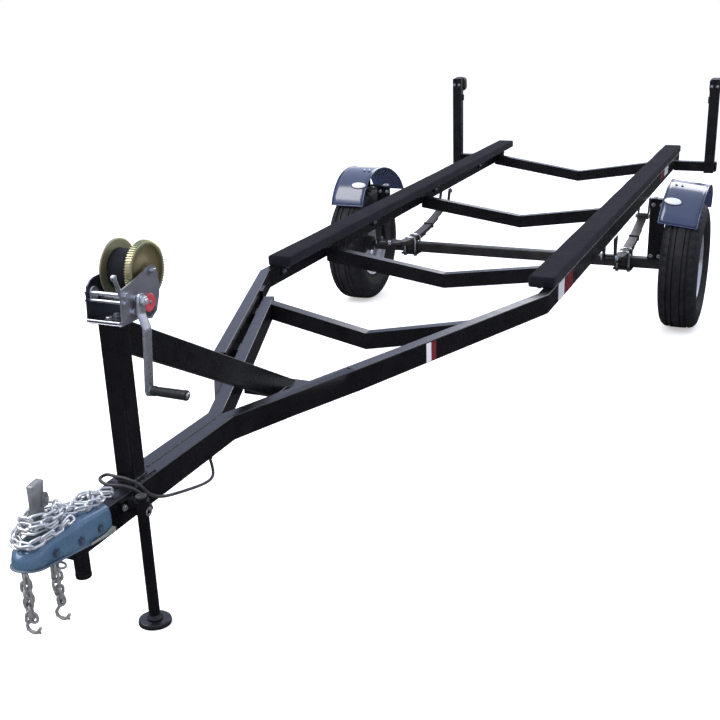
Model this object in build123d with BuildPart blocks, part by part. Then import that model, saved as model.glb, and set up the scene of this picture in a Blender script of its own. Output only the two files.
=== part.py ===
# Single-axle boat trailer with two carpeted bunks, a winch post and a drop-leg
# stand.  Millimetres.  Front of the trailer is -Y, rear +Y, +X is the trailer's
# left-hand side, +Z up, the floor is z = 0 and the box of the trailer is centred
# on x = 0, y = 0.
#
# The whole frame is drawn level, with the axle's centre line at y = 0 and
# z = AXLE_Z, and is then pitched nose-down by PITCH about that line, because the
# trailer is parked on its short drop leg.
from build123d import *
import os
from math import sin, cos, tan, atan2, radians, degrees, hypot, sqrt

os.makedirs("parts", exist_ok=True)

# ---------------------------------------------------------------- dimensions
PITCH = 3.75           # nose-down angle as parked, degrees
AXLE_Z = 303.0         # loaded tyre radius
AXLE_Y = 1038.477        # axle's place in the finished part's frame

TUBE_W, TUBE_H = 40.0, 70.0      # main frame tube
TUBE_R = 5.0                     # outside corner radius of the tube

# tongue and its two arms
ARM_TOP = 556.0
TONGUE_FRONT = -3575.0
KINK_Y = -2895.0
ARM_REAR = (440.0, -1850.0)      # outer edge of an arm's rear end
# bunk rails
RAIL_TOP = 585.0
RAIL_X = 581.0                   # outer face
RAIL_FRONT = (244.0, -2530.0)    # outer edge at the rail's front end
BEND_Y = -1617.0
RAIL_REAR = 1640.0
# crossmembers: y, half length, top at the ends, top at the centre
CROSS_W, CROSS_H = 40.0, 60.0
CROSSMEMBERS = (("crossmember_front", -1893.0, 0.0, 552.0, 475.0),
                ("crossmember_second", -1065.0, 0.0, 552.0, 474.0),
                ("crossmember_third", 121.0, 0.0, 552.0, 474.0),
                ("crossmember_rear", 1463.0, 0.0, 565.0, 478.0))
TIE_Y, TIE_TOP = -2515.0, 510.0  # short flat tie between the arms, under the brace
# bunks
BUNK_W, BUNK_T = 98.0, 42.0
BUNK_FRONT, BUNK_REAR = -1545.0, 1665.0
# winch post and brace
POST_W = 50.0
POST_Y = -3305.0
POST_TOP = 950.0
BRACE_TOP_Z, BRACE_SLOPE = 946.0, 0.550
# axle and wheels
TRACK = 1699.0
AXLE_TUBE = 50.0
TYRE_R, TYRE_W = 303.0, 176.0
RIM_R = 165.0
# springs
SPRING_X = 561.0
EYE_FRONT = (-400.0, 415.0)      # y, z of the eyes
EYE_REAR = (495.0, 425.0)
LEAF_W, LEAF_T = 45.0, 7.0
# guide posts
GUIDE_X, GUIDE_Y, GUIDE_TOP = 784.0, 1415.5, 1044.0
# stand leg
LEG_X, LEG_Y, LEG_R = 80.0, -3381.0, 13.5
FOOT_R, FOOT_T = 39.0, 12.0
# winch
DRUM_Y, DRUM_Z = -3216.0, 1046.0
CRANK_Y, CRANK_Z = -3282.0, 996.0

# ---------------------------------------------------------------- helpers
seat = (Location((0, AXLE_Y, AXLE_Z)) * Location((0, 0, 0), (PITCH, 0, 0))
        * Location((0, 0, -AXLE_Z)))


def finish(part, label, level=False):
    """Pitch a piece with the frame (or leave it level), name it and write it."""
    done = part.moved(Location((0, AXLE_Y, 0)) if level else seat)
    done.label = label
    export_step(done, f"parts/{label}.step")
    return done


def to_part(p):
    """A point of the level drawing in the finished part's frame."""
    c, s = cos(radians(PITCH)), sin(radians(PITCH))
    z = p[2] - AXLE_Z
    return (p[0], AXLE_Y + c * p[1] - s * z, AXLE_Z + s * p[1] + c * z)


def ribbon(outer, width):
    """Plan outline of a tube of this width whose outer edge is the polyline."""
    n = len(outer)
    inner = []
    for i, (x, y) in enumerate(outer):
        dirs = []
        if i > 0:
            d = (x - outer[i - 1][0], y - outer[i - 1][1])
            dirs.append((d[0] / hypot(*d), d[1] / hypot(*d)))
        if i < n - 1:
            d = (outer[i + 1][0] - x, outer[i + 1][1] - y)
            dirs.append((d[0] / hypot(*d), d[1] / hypot(*d)))
        nx = -sum(d[1] for d in dirs)
        ny = sum(d[0] for d in dirs)
        length = hypot(nx, ny)
        nx, ny = nx / length, ny / length
        k = width / (nx * -dirs[0][1] + ny * dirs[0][0])
        inner.append((x + nx * k, y + ny * k))
    return list(outer) + inner[::-1]


def arm_outer_x(y):
    return TUBE_W + (y - KINK_Y) * (ARM_REAR[0] - TUBE_W) / (ARM_REAR[1] - KINK_Y)


ARM_ANGLE = atan2(ARM_REAR[0] - TUBE_W, ARM_REAR[1] - KINK_Y)
RAIL_ANGLE = atan2(RAIL_X - RAIL_FRONT[0], BEND_Y - RAIL_FRONT[1])
SIDES = (("left", 1), ("right", -1))

# ---------------------------------------------------------------- main frame
for side, sx in SIDES:
    # tongue tube that bends out into an arm; its front end is square
    outer = [(TUBE_W, TONGUE_FRONT), (TUBE_W, KINK_Y), ARM_REAR]
    pts = ribbon(outer, TUBE_W)
    with BuildPart() as tongue:
        with BuildSketch(Plane.XY.offset(ARM_TOP - TUBE_H)):
            with BuildLine():
                Polyline(*[(sx * x, y) for x, y in pts], close=True)
            make_face()
        extrude(amount=TUBE_H)
        fillet(tongue.edges().filter_by(Axis.Z, reverse=True).group_by(Axis.Z)[0]
               + tongue.edges().filter_by(Axis.Z, reverse=True).group_by(Axis.Z)[-1], 3)
    finish(tongue.part, f"tongue_arm_{side}")

    # bunk rail: one tube, bent in ahead of the bunk
    outer = [RAIL_FRONT, (RAIL_X, BEND_Y), (RAIL_X, RAIL_REAR)]
    pts = ribbon(outer, TUBE_W)
    with BuildPart() as rail:
        with BuildSketch(Plane.XY.offset(RAIL_TOP - TUBE_H)):
            with BuildLine():
                Polyline(*[(sx * x, y) for x, y in pts], close=True)
            make_face()
        extrude(amount=TUBE_H)
        fillet(rail.edges().filter_by(Axis.Z, reverse=True).group_by(Axis.Z)[0]
               + rail.edges().filter_by(Axis.Z, reverse=True).group_by(Axis.Z)[-1], 3)
    finish(rail.part, f"rail_{side}")

# packers that fill the gap between an arm and its rail, two a side
with BuildPart() as packers:
    for sx in (1, -1):
        for y in (-2380.0, -2020.0):
            inner_rail = (RAIL_FRONT[0] + (y - RAIL_FRONT[1]) * tan(RAIL_ANGLE)
                          - TUBE_W / cos(RAIL_ANGLE))
            outer_arm = arm_outer_x(y)
            with BuildSketch(Plane.XY.offset(RAIL_TOP - TUBE_H + 4)):
                with BuildLine():
                    a, b = y - 30, y + 30
                    Polyline((sx * (outer_arm - 30 * tan(ARM_ANGLE)), a),
                             (sx * (inner_rail - 30 * tan(RAIL_ANGLE)), a),
                             (sx * (inner_rail + 30 * tan(RAIL_ANGLE)), b),
                             (sx * (outer_arm + 30 * tan(ARM_ANGLE)), b), close=True)
                make_face()
            extrude(amount=ARM_TOP - 4 - (RAIL_TOP - TUBE_H + 4))
finish(packers.part, "arm_packers")

# dropped-centre crossmembers
for name, y, _, z_end, z_mid in CROSSMEMBERS:
    if name == "crossmember_front":
        x_front = arm_outer_x(y - CROSS_W / 2) - TUBE_W / cos(ARM_ANGLE)
        x_rear = arm_outer_x(y + CROSS_W / 2) - TUBE_W / cos(ARM_ANGLE)
        half = x_rear
    else:
        half = RAIL_X - TUBE_W
    with BuildPart() as cross:
        with BuildSketch(Plane.XZ.offset(-(y + CROSS_W / 2))):
            with BuildLine():
                Polyline((-half, z_end), (0, z_mid), (half, z_end),
                         (half, z_end - CROSS_H), (0, z_mid - CROSS_H),
                         (-half, z_end - CROSS_H), close=True)
            make_face()
        extrude(amount=CROSS_W)
        if name == "crossmember_front":
            for sx in (1, -1):
                with BuildSketch(Plane.XY.offset(0)):
                    with BuildLine():
                        Polyline((sx * x_front, y - CROSS_W / 2 - 0.0),
                                 (sx * (x_rear + 5), y - CROSS_W / 2),
                                 (sx * (x_rear + 5), y + CROSS_W / 2),
                                 (sx * x_rear, y + CROSS_W / 2), close=True)
                    make_face()
                extrude(amount=1000, mode=Mode.SUBTRACT)
    finish(cross.part, name)

# tie between the arms where the winch brace lands, a tube laid flat
with BuildPart() as tie:
    a, b = TIE_Y - TUBE_H / 2, TIE_Y + TUBE_H / 2
    xa = arm_outer_x(a) - TUBE_W / cos(ARM_ANGLE)
    xb = arm_outer_x(b) - TUBE_W / cos(ARM_ANGLE)
    with BuildSketch(Plane.XY.offset(TIE_TOP - TUBE_W)):
        with BuildLine():
            Polyline((-xa, a), (xa, a), (xb, b), (-xb, b), close=True)
        make_face()
    extrude(amount=TUBE_W)
finish(tie.part, "arm_tie")

# end plates that tie the arms' rear ends to the inner faces of the rails
def rail_inner_x(y):
    return RAIL_FRONT[0] + (y - RAIL_FRONT[1]) * tan(RAIL_ANGLE) - TUBE_W / cos(RAIL_ANGLE)


with BuildPart() as plates:
    for sx in (1, -1):
        with BuildSketch(Plane.XY.offset(RAIL_TOP - TUBE_H)):
            with BuildLine():
                a, b = ARM_REAR[1] + 1, ARM_REAR[1] + 70
                Polyline((sx * rail_inner_x(a), a), (sx * rail_inner_x(b), b),
                         (sx * (rail_inner_x(b) - 10), b), (sx * (rail_inner_x(a) - 10), a),
                         close=True)
            make_face()
        extrude(amount=60)
finish(plates.part, "arm_end_plates")

# ---------------------------------------------------------------- winch post
with BuildPart() as post:
    with BuildSketch(Plane.XY.offset(ARM_TOP)):
        with Locations((0, POST_Y)):
            Rectangle(70, 100)
    extrude(amount=6)
    with BuildSketch(Plane.XY.offset(ARM_TOP + 6)):
        with Locations((0, POST_Y)):
            RectangleRounded(POST_W, POST_W, 5)
    extrude(amount=POST_TOP - ARM_TOP - 6)
finish(post.part, "winch_post")

post_rear = POST_Y + POST_W / 2
BRACE_V = 80.0                   # the brace tube measured straight up
with BuildPart() as brace:
    with BuildSketch(Plane.YZ.offset(-TUBE_W / 2)):
        with BuildLine():
            # cut level where it stands on the tie
            Polyline((post_rear, BRACE_TOP_Z),
                     (post_rear + (BRACE_TOP_Z - TIE_TOP) / BRACE_SLOPE, TIE_TOP),
                     (post_rear + (BRACE_TOP_Z - BRACE_V - TIE_TOP) / BRACE_SLOPE, TIE_TOP),
                     (post_rear, BRACE_TOP_Z - BRACE_V), close=True)
        make_face()
    extrude(amount=TUBE_W)
    fillet(brace.edges().filter_by(lambda e: abs(e.tangent_at(0.5).Y) > 0.5
                                   and abs(e.tangent_at(0.5).Z) > 0.3), 3)
finish(brace.part, "winch_brace")

# ---------------------------------------------------------------- winch
SHEET = 4.0
NEAR_X, FAR_X = 48.0, -45.0      # inner face of the near plate, outer face of the far one
near_plate = [(-3338, 956), (-3334, 1030), (-3311, 1035), (-3268, 1044), (-3224, 1057),
              (-3208, 1059), (-3192, 1047), (-3187, 1009), (-3192, 981), (-3206, 949),
              (-3229, 936), (-3284, 952)]
far_plate = [(-3338, 956), (-3333, 1018), (-3328, 1032), (-3317, 1041), (-3302, 1046),
             (-3268, 1048), (-3224, 1057), (-3208, 1059), (-3192, 1047), (-3187, 1009),
             (-3192, 981), (-3206, 949), (-3284, 952)]
with BuildPart() as winch_frame:
    # base with its front edge turned up
    with BuildSketch(Plane.XY.offset(POST_TOP)):
        with Locations(((NEAR_X + SHEET + FAR_X) / 2, -3277.5)):
            Rectangle(NEAR_X + SHEET - FAR_X, 125)
    extrude(amount=5)
    with BuildSketch(Plane.XY.offset(POST_TOP)):
        with Locations(((NEAR_X + SHEET + FAR_X) / 2, -3338)):
            Rectangle(NEAR_X + SHEET - FAR_X, 4)
    extrude(amount=10)
    for x, outline in ((NEAR_X, near_plate), (FAR_X, far_plate)):
        with BuildSketch(Plane.YZ.offset(x)):
            with BuildLine():
                Polyline(*outline, close=True)
            make_face()
        extrude(amount=SHEET)
    # holes for the drum's shaft and the crank's shaft
    with BuildSketch(Plane.YZ.offset(-60)):
        with Locations((DRUM_Y, DRUM_Z)):
            Circle(6.4)
        with Locations((CRANK_Y, CRANK_Z)):
            Circle(7.4)
    extrude(amount=130, mode=Mode.SUBTRACT)
finish(winch_frame.part, "winch_frame")

# spacer rods across the front of the winch
with BuildPart() as rods:
    for y, z, r in ((-3321.0, 1016.0, 5.0), (-3325.0, 1000.0, 4.0)):
        with BuildSketch(Plane.YZ.offset(FAR_X + SHEET)):
            with Locations((y, z)):
                Circle(r)
        extrude(amount=NEAR_X - 4 - FAR_X - SHEET)
finish(rods.part, "winch_rods")

# pawl lever, standing up inside the near plate
with BuildPart() as lever:
    with BuildSketch(Plane.YZ.offset(NEAR_X - 4)):
        with Locations(Location((-3333.0, 1036.0), 18)):
            SlotOverall(56, 14, rotation=90)
    extrude(amount=4)
finish(lever.part, "winch_pawl")

# drum: shaft, core, far flange and the toothed ring with its web
GEAR_R, GEAR_FACE = 70.0, 15.0
with BuildPart() as drum:
    for x0, x1, r in ((FAR_X - 3, 56.0, 6.0), (-34.0, 29.0, 16.0), (-37.0, -34.0, 71.0),
                      (29.0, 29.0 + GEAR_FACE, GEAR_R)):
        with BuildSketch(Plane.YZ.offset(x0)):
            with Locations((DRUM_Y, DRUM_Z)):
                Circle(r)
        extrude(amount=x1 - x0)
    with BuildSketch(Plane.YZ.offset(33)):
        with Locations((DRUM_Y, DRUM_Z)):
            Circle(GEAR_R - 11)
            Circle(12, mode=Mode.SUBTRACT)
    extrude(amount=GEAR_FACE - 4 + 1, mode=Mode.SUBTRACT)
finish(drum.part, "winch_drum")

with BuildPart() as strap:
    with BuildSketch(Plane.YZ.offset(-33)):
        with Locations((DRUM_Y, DRUM_Z)):
            Circle(47)
            Circle(16, mode=Mode.SUBTRACT)
    extrude(amount=61)
finish(strap.part, "winch_strap")

ARM_LEN, ARM_SWING = 207.0, 6.5
GRIP_R = 12.5
swing = Location((0, CRANK_Y, CRANK_Z)) * Location((0, 0, 0), (-ARM_SWING, 0, 0)) \
    * Location((0, -CRANK_Y, -CRANK_Z))
with BuildPart() as crank:
    # shaft with its pinion and end nut
    for x0, x1, r in ((FAR_X - 4, 76.0, 7.0), (29.0, 44.0, 11.5), (70.0, 78.0, 10.0)):
        with BuildSketch(Plane.YZ.offset(x0)):
            with Locations((CRANK_Y, CRANK_Z)):
                Circle(r)
        extrude(amount=x1 - x0)
    # arm: a bar with a joggle outward, hanging down
    with BuildSketch(Plane.XZ.offset(-(CRANK_Y + 14))):
        with BuildLine():
            Polyline((62, CRANK_Z + 16), (70, CRANK_Z + 16), (70, 963), (84, 932),
                     (84, CRANK_Z - ARM_LEN - 14), (76, CRANK_Z - ARM_LEN - 14), (76, 935),
                     (62, 965), close=True)
        make_face()
    extrude(amount=28)
    # pin that carries the grip
    with BuildSketch(Plane.YZ.offset(84)):
        with Locations((CRANK_Y, CRANK_Z - ARM_LEN)):
            Circle(5)
    extrude(amount=102)
finish(crank.part.moved(swing), "winch_crank")

with BuildPart() as grip:
    with BuildSketch(Plane.YZ.offset(87)):
        with Locations((CRANK_Y, CRANK_Z - ARM_LEN)):
            Circle(GRIP_R)
            Circle(5.0, mode=Mode.SUBTRACT)
    extrude(amount=95)
finish(grip.part.moved(swing), "crank_grip")

# cover over the ratchet on the near plate
with BuildPart() as cover:
    with BuildSketch(Plane.YZ.offset(NEAR_X + SHEET)):
        with Locations((-3236.0, 977.0)):
            RegularPolygon(23, 10)
    extrude(amount=6)
finish(cover.part, "ratchet_cover")

# ---------------------------------------------------------------- coupler
BALL_Y = -3672.0
BALL_R = 25.8
BORE_FLOOR, BORE_TOP = 527.0, 557.0
COUPLER_REAR, NOSE_Y, NOSE_R = -3450.0, -3670.0, 42.0
with BuildPart() as coupler:
    # plan of the pressing
    with BuildSketch(Plane.XY.offset(470)):
        with Locations((0, NOSE_Y)):
            Circle(NOSE_R)
        with BuildLine():
            Polyline((-NOSE_R, NOSE_Y), (NOSE_R, NOSE_Y), (45.5, COUPLER_REAR),
                     (-45.5, COUPLER_REAR), close=True)
        make_face()
    extrude(amount=120)
    # side view: the bottom edge rises forward, the top rounds down over the nose
    with BuildSketch(Plane.YZ.offset(-60)):
        with BuildLine():
            Polyline((COUPLER_REAR, 491), (-3712, 527.7), (-3712, 546), (-3706, 556),
                     (-3697, 563), (-3684, 569), (-3664, 573), (-3630, 576), (-3586, 577),
                     (-3466, 566), (COUPLER_REAR, 564), close=True)
        make_face()
    extrude(amount=120, mode=Mode.INTERSECT)
    # room for the two tongue tubes
    with BuildSketch(Plane.XZ.offset(-TONGUE_FRONT)):
        with Locations((0, ARM_TOP - 50)):
            Rectangle(TUBE_W * 2, 100)
    extrude(amount=-400, mode=Mode.SUBTRACT)
    # ball socket, with the wider mouth under it
    with BuildSketch(Plane.XY.offset(BORE_FLOOR)):
        with Locations((0, BALL_Y)):
            Circle(BALL_R)
    extrude(amount=BORE_TOP - BORE_FLOOR, mode=Mode.SUBTRACT)
    with BuildSketch(Plane.XY.offset(470)):
        with Locations((0, BALL_Y)):
            Circle(36)
    extrude(amount=BORE_FLOOR - 470, mode=Mode.SUBTRACT)
finish(coupler.part, "coupler")

with BuildPart() as latch:
    with BuildSketch(Plane.YZ.offset(-14)):
        with BuildLine():
            Polyline((-3655, 573.9), (-3648, 600), (-3640, 692), (-3606, 696),
                     (-3610, 652), (-3622, 600), (-3615, 576.5), (-3630, 576.1), close=True)
        make_face()
    extrude(amount=28)
finish(latch.part, "coupler_latch")

# socket for a screw jack, under the tongue
with BuildPart() as jack_socket:
    with BuildSketch(Plane.XY.offset(407)):
        with Locations((0, -3515)):
            Circle(18)
            Circle(14.5, mode=Mode.SUBTRACT)
    extrude(amount=ARM_TOP - TUBE_H - 407)
finish(jack_socket.part, "jack_socket")

# ---------------------------------------------------------------- drop leg
with BuildPart() as clamp:
    with BuildSketch(Plane.XY.offset(516)):
        with Locations((LEG_X, LEG_Y)):
            Circle(LEG_R + 4.5)
        with Locations(((TUBE_W + LEG_X) / 2, LEG_Y)):
            Rectangle(LEG_X - TUBE_W, 22)
        with Locations((LEG_X, LEG_Y)):
            Circle(LEG_R + 0.5, mode=Mode.SUBTRACT)
    extrude(amount=32)
    with BuildSketch(Plane.XY.offset(516)):
        with Locations((TUBE_W + 3, LEG_Y)):
            Rectangle(6, 60)
    extrude(amount=32)
finish(clamp.part, "stand_clamp")

leg_bottom = AXLE_Z + (FOOT_T - AXLE_Z - sin(radians(PITCH)) * LEG_Y) / cos(radians(PITCH))
with BuildPart() as leg:
    with BuildSketch(Plane.XY.offset(leg_bottom + 2)):
        with Locations((LEG_X, LEG_Y)):
            Circle(LEG_R)
    extrude(amount=ARM_TOP + 2 - leg_bottom - 2)
finish(leg.part, "stand_leg")

leg_foot = to_part((LEG_X, LEG_Y, leg_bottom))
with BuildPart() as foot:
    with BuildSketch(Plane.XY):
        with Locations((LEG_X, leg_foot[1] - AXLE_Y)):
            Circle(FOOT_R)
    extrude(amount=FOOT_T)
    fillet(foot.edges().group_by(Axis.Z)[-1], 3)
finish(foot.part, "stand_foot", level=True)

# ---------------------------------------------------------------- bunks
for side, sx in SIDES:
    with BuildPart() as bunk:
        with BuildSketch(Plane.XZ.offset(-BUNK_REAR)):
            with Locations((sx * (RAIL_X + 3 - BUNK_W / 2), RAIL_TOP + BUNK_T / 2)):
                RectangleRounded(BUNK_W, BUNK_T, 8)
        extrude(amount=BUNK_REAR - BUNK_FRONT)
    finish(bunk.part, f"bunk_{side}")

# ---------------------------------------------------------------- running gear
HUB_IN = TRACK / 2 - 60
with BuildPart() as axle:
    with BuildSketch(Plane.YZ.offset(-HUB_IN + 20)):
        with Locations((0, AXLE_Z)):
            RectangleRounded(AXLE_TUBE, AXLE_TUBE, 5)
    extrude(amount=2 * (HUB_IN - 20))
    for sx in (1, -1):
        for x0, x1, r in ((HUB_IN - 20, HUB_IN + 60, 16.0),):
            with BuildSketch(Plane.YZ.offset(x0 if sx > 0 else -x1)):
                with Locations((0, AXLE_Z)):
                    Circle(r)
            extrude(amount=x1 - x0)
finish(axle.part, "axle")

# leaf packs: main leaf and three shorter ones, each a polyline of constant thickness
seat_z = AXLE_Z + AXLE_TUBE / 2
leaf_floor = seat_z + 3 * LEAF_T         # underside of the main leaf over the axle
LEAVES = ((10, 0), (7, 1), (5, 2), (3, 3))     # length in tenths, place in the pack


def leaf_z(y):
    """Underside of the main leaf: a parabola each side of the axle."""
    eye = EYE_REAR if y > 0 else EYE_FRONT
    return leaf_floor + (eye[1] - 4 - leaf_floor) * (y / eye[0]) ** 2


for side, sx in SIDES:
    with BuildPart() as spring:
        for share, i in LEAVES:
            ys = [EYE_FRONT[0] * k / 10 for k in range(share, 0, -1)] \
                + [EYE_REAR[0] * k / 10 for k in range(share + 1)]
            low = [(y, leaf_z(y) - i * LEAF_T) for y in ys]
            high = [(y, z + LEAF_T) for y, z in low]
            with BuildSketch(Plane.YZ.offset(sx * SPRING_X - LEAF_W / 2)):
                with BuildLine():
                    Polyline(*(low + high[::-1]), close=True)
                make_face()
            extrude(amount=LEAF_W)
        for y, z in (EYE_FRONT, EYE_REAR):
            with BuildSketch(Plane.YZ.offset(sx * SPRING_X - LEAF_W / 2)):
                with Locations((y, z)):
                    Circle(14)
            extrude(amount=LEAF_W)
    finish(spring.part, f"leaf_spring_{side}")

rail_bottom = RAIL_TOP - TUBE_H
with BuildPart() as hangers:
    y, z = EYE_FRONT
    for sx in (1, -1):
        for x in (sx * SPRING_X - LEAF_W / 2 - 6, sx * SPRING_X + LEAF_W / 2):
            with BuildSketch(Plane.YZ.offset(x)):
                with BuildLine():
                    Polyline((y - 40, rail_bottom), (y - 17, z - 17), (y + 17, z - 17),
                             (y + 40, rail_bottom), close=True)
                make_face()
            extrude(amount=6)
finish(hangers.part, "spring_hangers")

with BuildPart() as shackles:
    y, z = EYE_REAR
    for sx in (1, -1):
        for x in (sx * SPRING_X - LEAF_W / 2 - 6, sx * SPRING_X + LEAF_W / 2):
            with BuildSketch(Plane.YZ.offset(x)):
                with BuildLine():
                    Polyline((y - 17, z - 15), (y + 15, z - 17), (y + 58, rail_bottom),
                             (y + 22, rail_bottom), close=True)
                make_face()
            extrude(amount=6)
finish(shackles.part, "spring_shackles")

with BuildPart() as pads:
    for sx in (1, -1):
        with BuildSketch(Plane.XY.offset(AXLE_Z - AXLE_TUBE / 2 - 8)):
            with Locations((sx * SPRING_X, 0)):
                Rectangle(90, 110)
        extrude(amount=8)
finish(pads.part, "spring_pads")

# wheels: tyre, rim and hub, as rings about the axle's line
for side, sx in SIDES:
    cx = sx * TRACK / 2
    plane = Plane((cx, 0, AXLE_Z), x_dir=(0, 1, 0), z_dir=(1, 0, 0))
    with BuildPart() as tyre:
        with BuildSketch(Plane.XZ.offset(0)):
            with BuildLine():
                w = TYRE_W / 2
                # section of the tyre, radius against width
                half = [(w * 0.72, RIM_R + 2), (w * 0.90, RIM_R + 22), (w, RIM_R + 58),
                        (w * 0.985, RIM_R + 86), (w * 0.93, RIM_R + 108),
                        (w * 0.82, TYRE_R - 14), (w * 0.68, TYRE_R - 5), (w * 0.48, TYRE_R)]
                pts = [(-x, r) for x, r in half] + half[::-1]
                Polyline(*[(cx + x, AXLE_Z + r) for x, r in pts], close=True)
            make_face()
        revolve(axis=Axis((0, 0, AXLE_Z), (1, 0, 0)))
    finish(tyre.part, f"tyre_{side}", level=True)

    with BuildPart() as rim:
        with BuildSketch(Plane.XZ.offset(0)):
            with BuildLine():
                # barrel and disc of a pressed steel wheel; the disc dishes outward
                o = sx
                pts = [(-62 * o, RIM_R + 1.7), (-62 * o, RIM_R - 6), (-40 * o, RIM_R - 22),
                       (20 * o, RIM_R - 24), (26 * o, 70), (8 * o, 48), (8 * o, 34),
                       (14 * o, 34), (14 * o, 46), (32 * o, 68), (30 * o, RIM_R - 20),
                       (62 * o, RIM_R - 6), (62 * o, RIM_R + 1.7)]
                Polyline(*[(cx + x, AXLE_Z + r) for x, r in pts], close=True)
            make_face()
        revolve(axis=Axis((0, 0, AXLE_Z), (1, 0, 0)))
    finish(rim.part, f"rim_{side}", level=True)

    with BuildPart() as hub:
        x_in, x_out = HUB_IN - TRACK / 2 + 5, 8.0
        with BuildSketch(Plane.XZ.offset(0)):
            with BuildLine():
                pts = [(x_in, 17), (x_in, 38), (x_in + 40, 40), (x_in + 46, 60), (x_out, 60),
                       (x_out, 33.5), (48, 32), (54, 20), (54, 0), (8, 0), (8, 17)]
                Polyline(*[(sx * (TRACK / 2 + x), AXLE_Z + r) for x, r in pts], close=True)
            make_face()
        revolve(axis=Axis((0, 0, AXLE_Z), (1, 0, 0)))
    finish(hub.part, f"hub_{side}", level=True)

# ---------------------------------------------------------------- fenders
FENDER_X0, FENDER_X1 = 755.0, 935.0
FENDER_T = 3.0
FENDER_TILT = {"left": 6.5, "right": 0.0}    # the left one has sagged outward
fender_path = [(-205, 548), (-188, 590), (-160, 627), (-128, 656), (-90, 680), (-45, 697),
               (0, 705), (55, 704), (110, 697), (180, 678), (240, 652), (290, 622),
               (330, 590), (372, 535)]
LAMP_Y, LAMP_X = -158.0, 800.0
for side, sx in SIDES:
    hinge_line = Location((sx * FENDER_X0, 0, 700))
    tilt = hinge_line * Location((0, 0, 0), (0, sx * FENDER_TILT[side], 0)) \
        * Location((-sx * FENDER_X0, 0, -700))
    with BuildPart() as fender:
        with BuildSketch(Plane.YZ.offset(FENDER_X0 if sx > 0 else -FENDER_X1)):
            with BuildLine():
                outer = [(y, z) for y, z in fender_path]
                inner = []
                for i, (y, z) in enumerate(outer):
                    a = outer[max(i - 1, 0)]
                    b = outer[min(i + 1, len(outer) - 1)]
                    d = (b[0] - a[0], b[1] - a[1])
                    n = hypot(*d)
                    inner.append((y + FENDER_T * d[1] / n, z - FENDER_T * d[0] / n))
                Polyline(*(outer + inner[::-1]), close=True)
            make_face()
        extrude(amount=FENDER_X1 - FENDER_X0)
    finish(fender.part.moved(tilt), f"fender_{side}")

    # small domed lamp on the fender's front slope
    a, b = fender_path[2], fender_path[3]
    slope = atan2(b[1] - a[1], b[0] - a[0])
    lamp_at = ((a[0] + b[0]) / 2, (a[1] + b[1]) / 2)
    lamp_plane = Plane(origin=(sx * LAMP_X, *lamp_at), x_dir=(1, 0, 0),
                       z_dir=(0, -sin(slope), cos(slope)))
    with BuildPart() as lamp:
        with BuildSketch(lamp_plane):
            Ellipse(44, 20)
        extrude(amount=16, taper=28)
    finish(lamp.part.moved(tilt), f"fender_lamp_{side}")

# brackets standing on the axle that carry the fenders
with BuildPart() as stays:
    for sx in (1, -1):
        for x0, x1, y0, y1, z0, z1 in (
                # upright, arm, and the riser up to the underside of the fender
                (674, 746, -31, -25, AXLE_Z + AXLE_TUBE / 2, 622),
                (674, 830, -50, -10, 622, 628),
                (784, 824, -34, -28, 628, 695.5 if sx < 0 else 688)):
            with BuildSketch(Plane.XY.offset(z0)):
                with Locations((sx * (x0 + x1) / 2, (y0 + y1) / 2)):
                    Rectangle(x1 - x0, y1 - y0)
            extrude(amount=z1 - z0)
finish(stays.part, "fender_stays")

# ---------------------------------------------------------------- guide posts
OUTRIGGER_X = 820.0
with BuildPart() as outriggers:
    for sx in (1, -1):
        with BuildSketch(Plane.YZ.offset(RAIL_X if sx > 0 else -OUTRIGGER_X)):
            with Locations((CROSSMEMBERS[3][1], 565 - CROSS_H / 2)):
                Rectangle(CROSS_W, CROSS_H - 4)
        extrude(amount=OUTRIGGER_X - RAIL_X)
finish(outriggers.part, "guide_outriggers")

for side, sx in SIDES:
    with BuildPart() as guide:
        with BuildSketch(Plane.XY.offset(507)):
            with Locations((sx * GUIDE_X, GUIDE_Y)):
                RectangleRounded(55, 55, 6)
        extrude(amount=GUIDE_TOP - 507)
    finish(guide.part, f"guide_post_{side}")
    with BuildPart() as lamp:
        with BuildSketch(Plane.XZ.offset(-(GUIDE_Y + 27.5))):
            with Locations((sx * GUIDE_X, 1007)):
                RectangleRounded(72, 86, 10)
        extrude(amount=-60)
        fillet(lamp.faces().sort_by(Axis.Y)[-1].edges(), 10)
    finish(lamp.part, f"tail_lamp_{side}")

# ---------------------------------------------------------------- safety chains
def rounded_run(points, r, label, keep=False):
    """A tube of radius r along a polyline whose corners are tangent arcs."""
    corners = [Vector(*p) for p in points]
    radii = []
    for i in range(1, len(corners) - 1):
        a, b = corners[i] - corners[i - 1], corners[i + 1] - corners[i]
        radii.append(0.45 * min(a.length, b.length) / tan(radians(a.get_angle(b)) / 2))
    with BuildPart() as run:
        with BuildLine() as path:
            FilletPolyline(*points, radius=radii)
        with BuildSketch(Plane(origin=path.line @ 0, z_dir=path.line % 0)):
            Circle(r)
        sweep()
    length = sum(e.length for e in path.line.edges())
    print(label, "radii", [round(q, 1) for q in radii])
    print(label, "volume", round(run.part.volume), "section x length",
          round(3.14159 * r * r * length), "length", round(length))
    return run.part


CHAIN_R = 7.0
# the two ends that hang under the coupler
with BuildPart() as chains:
    for x, y, z0, z1 in ((12.0, -3703.0, 385.0, 525.0), (36.0, -3638.0, 372.0, 516.0)):
        with BuildSketch(Plane.XY.offset(z0)):
            with Locations((x, y)):
                Circle(9)
        extrude(amount=z1 - z0)
finish(chains.part, "safety_chains")

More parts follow.
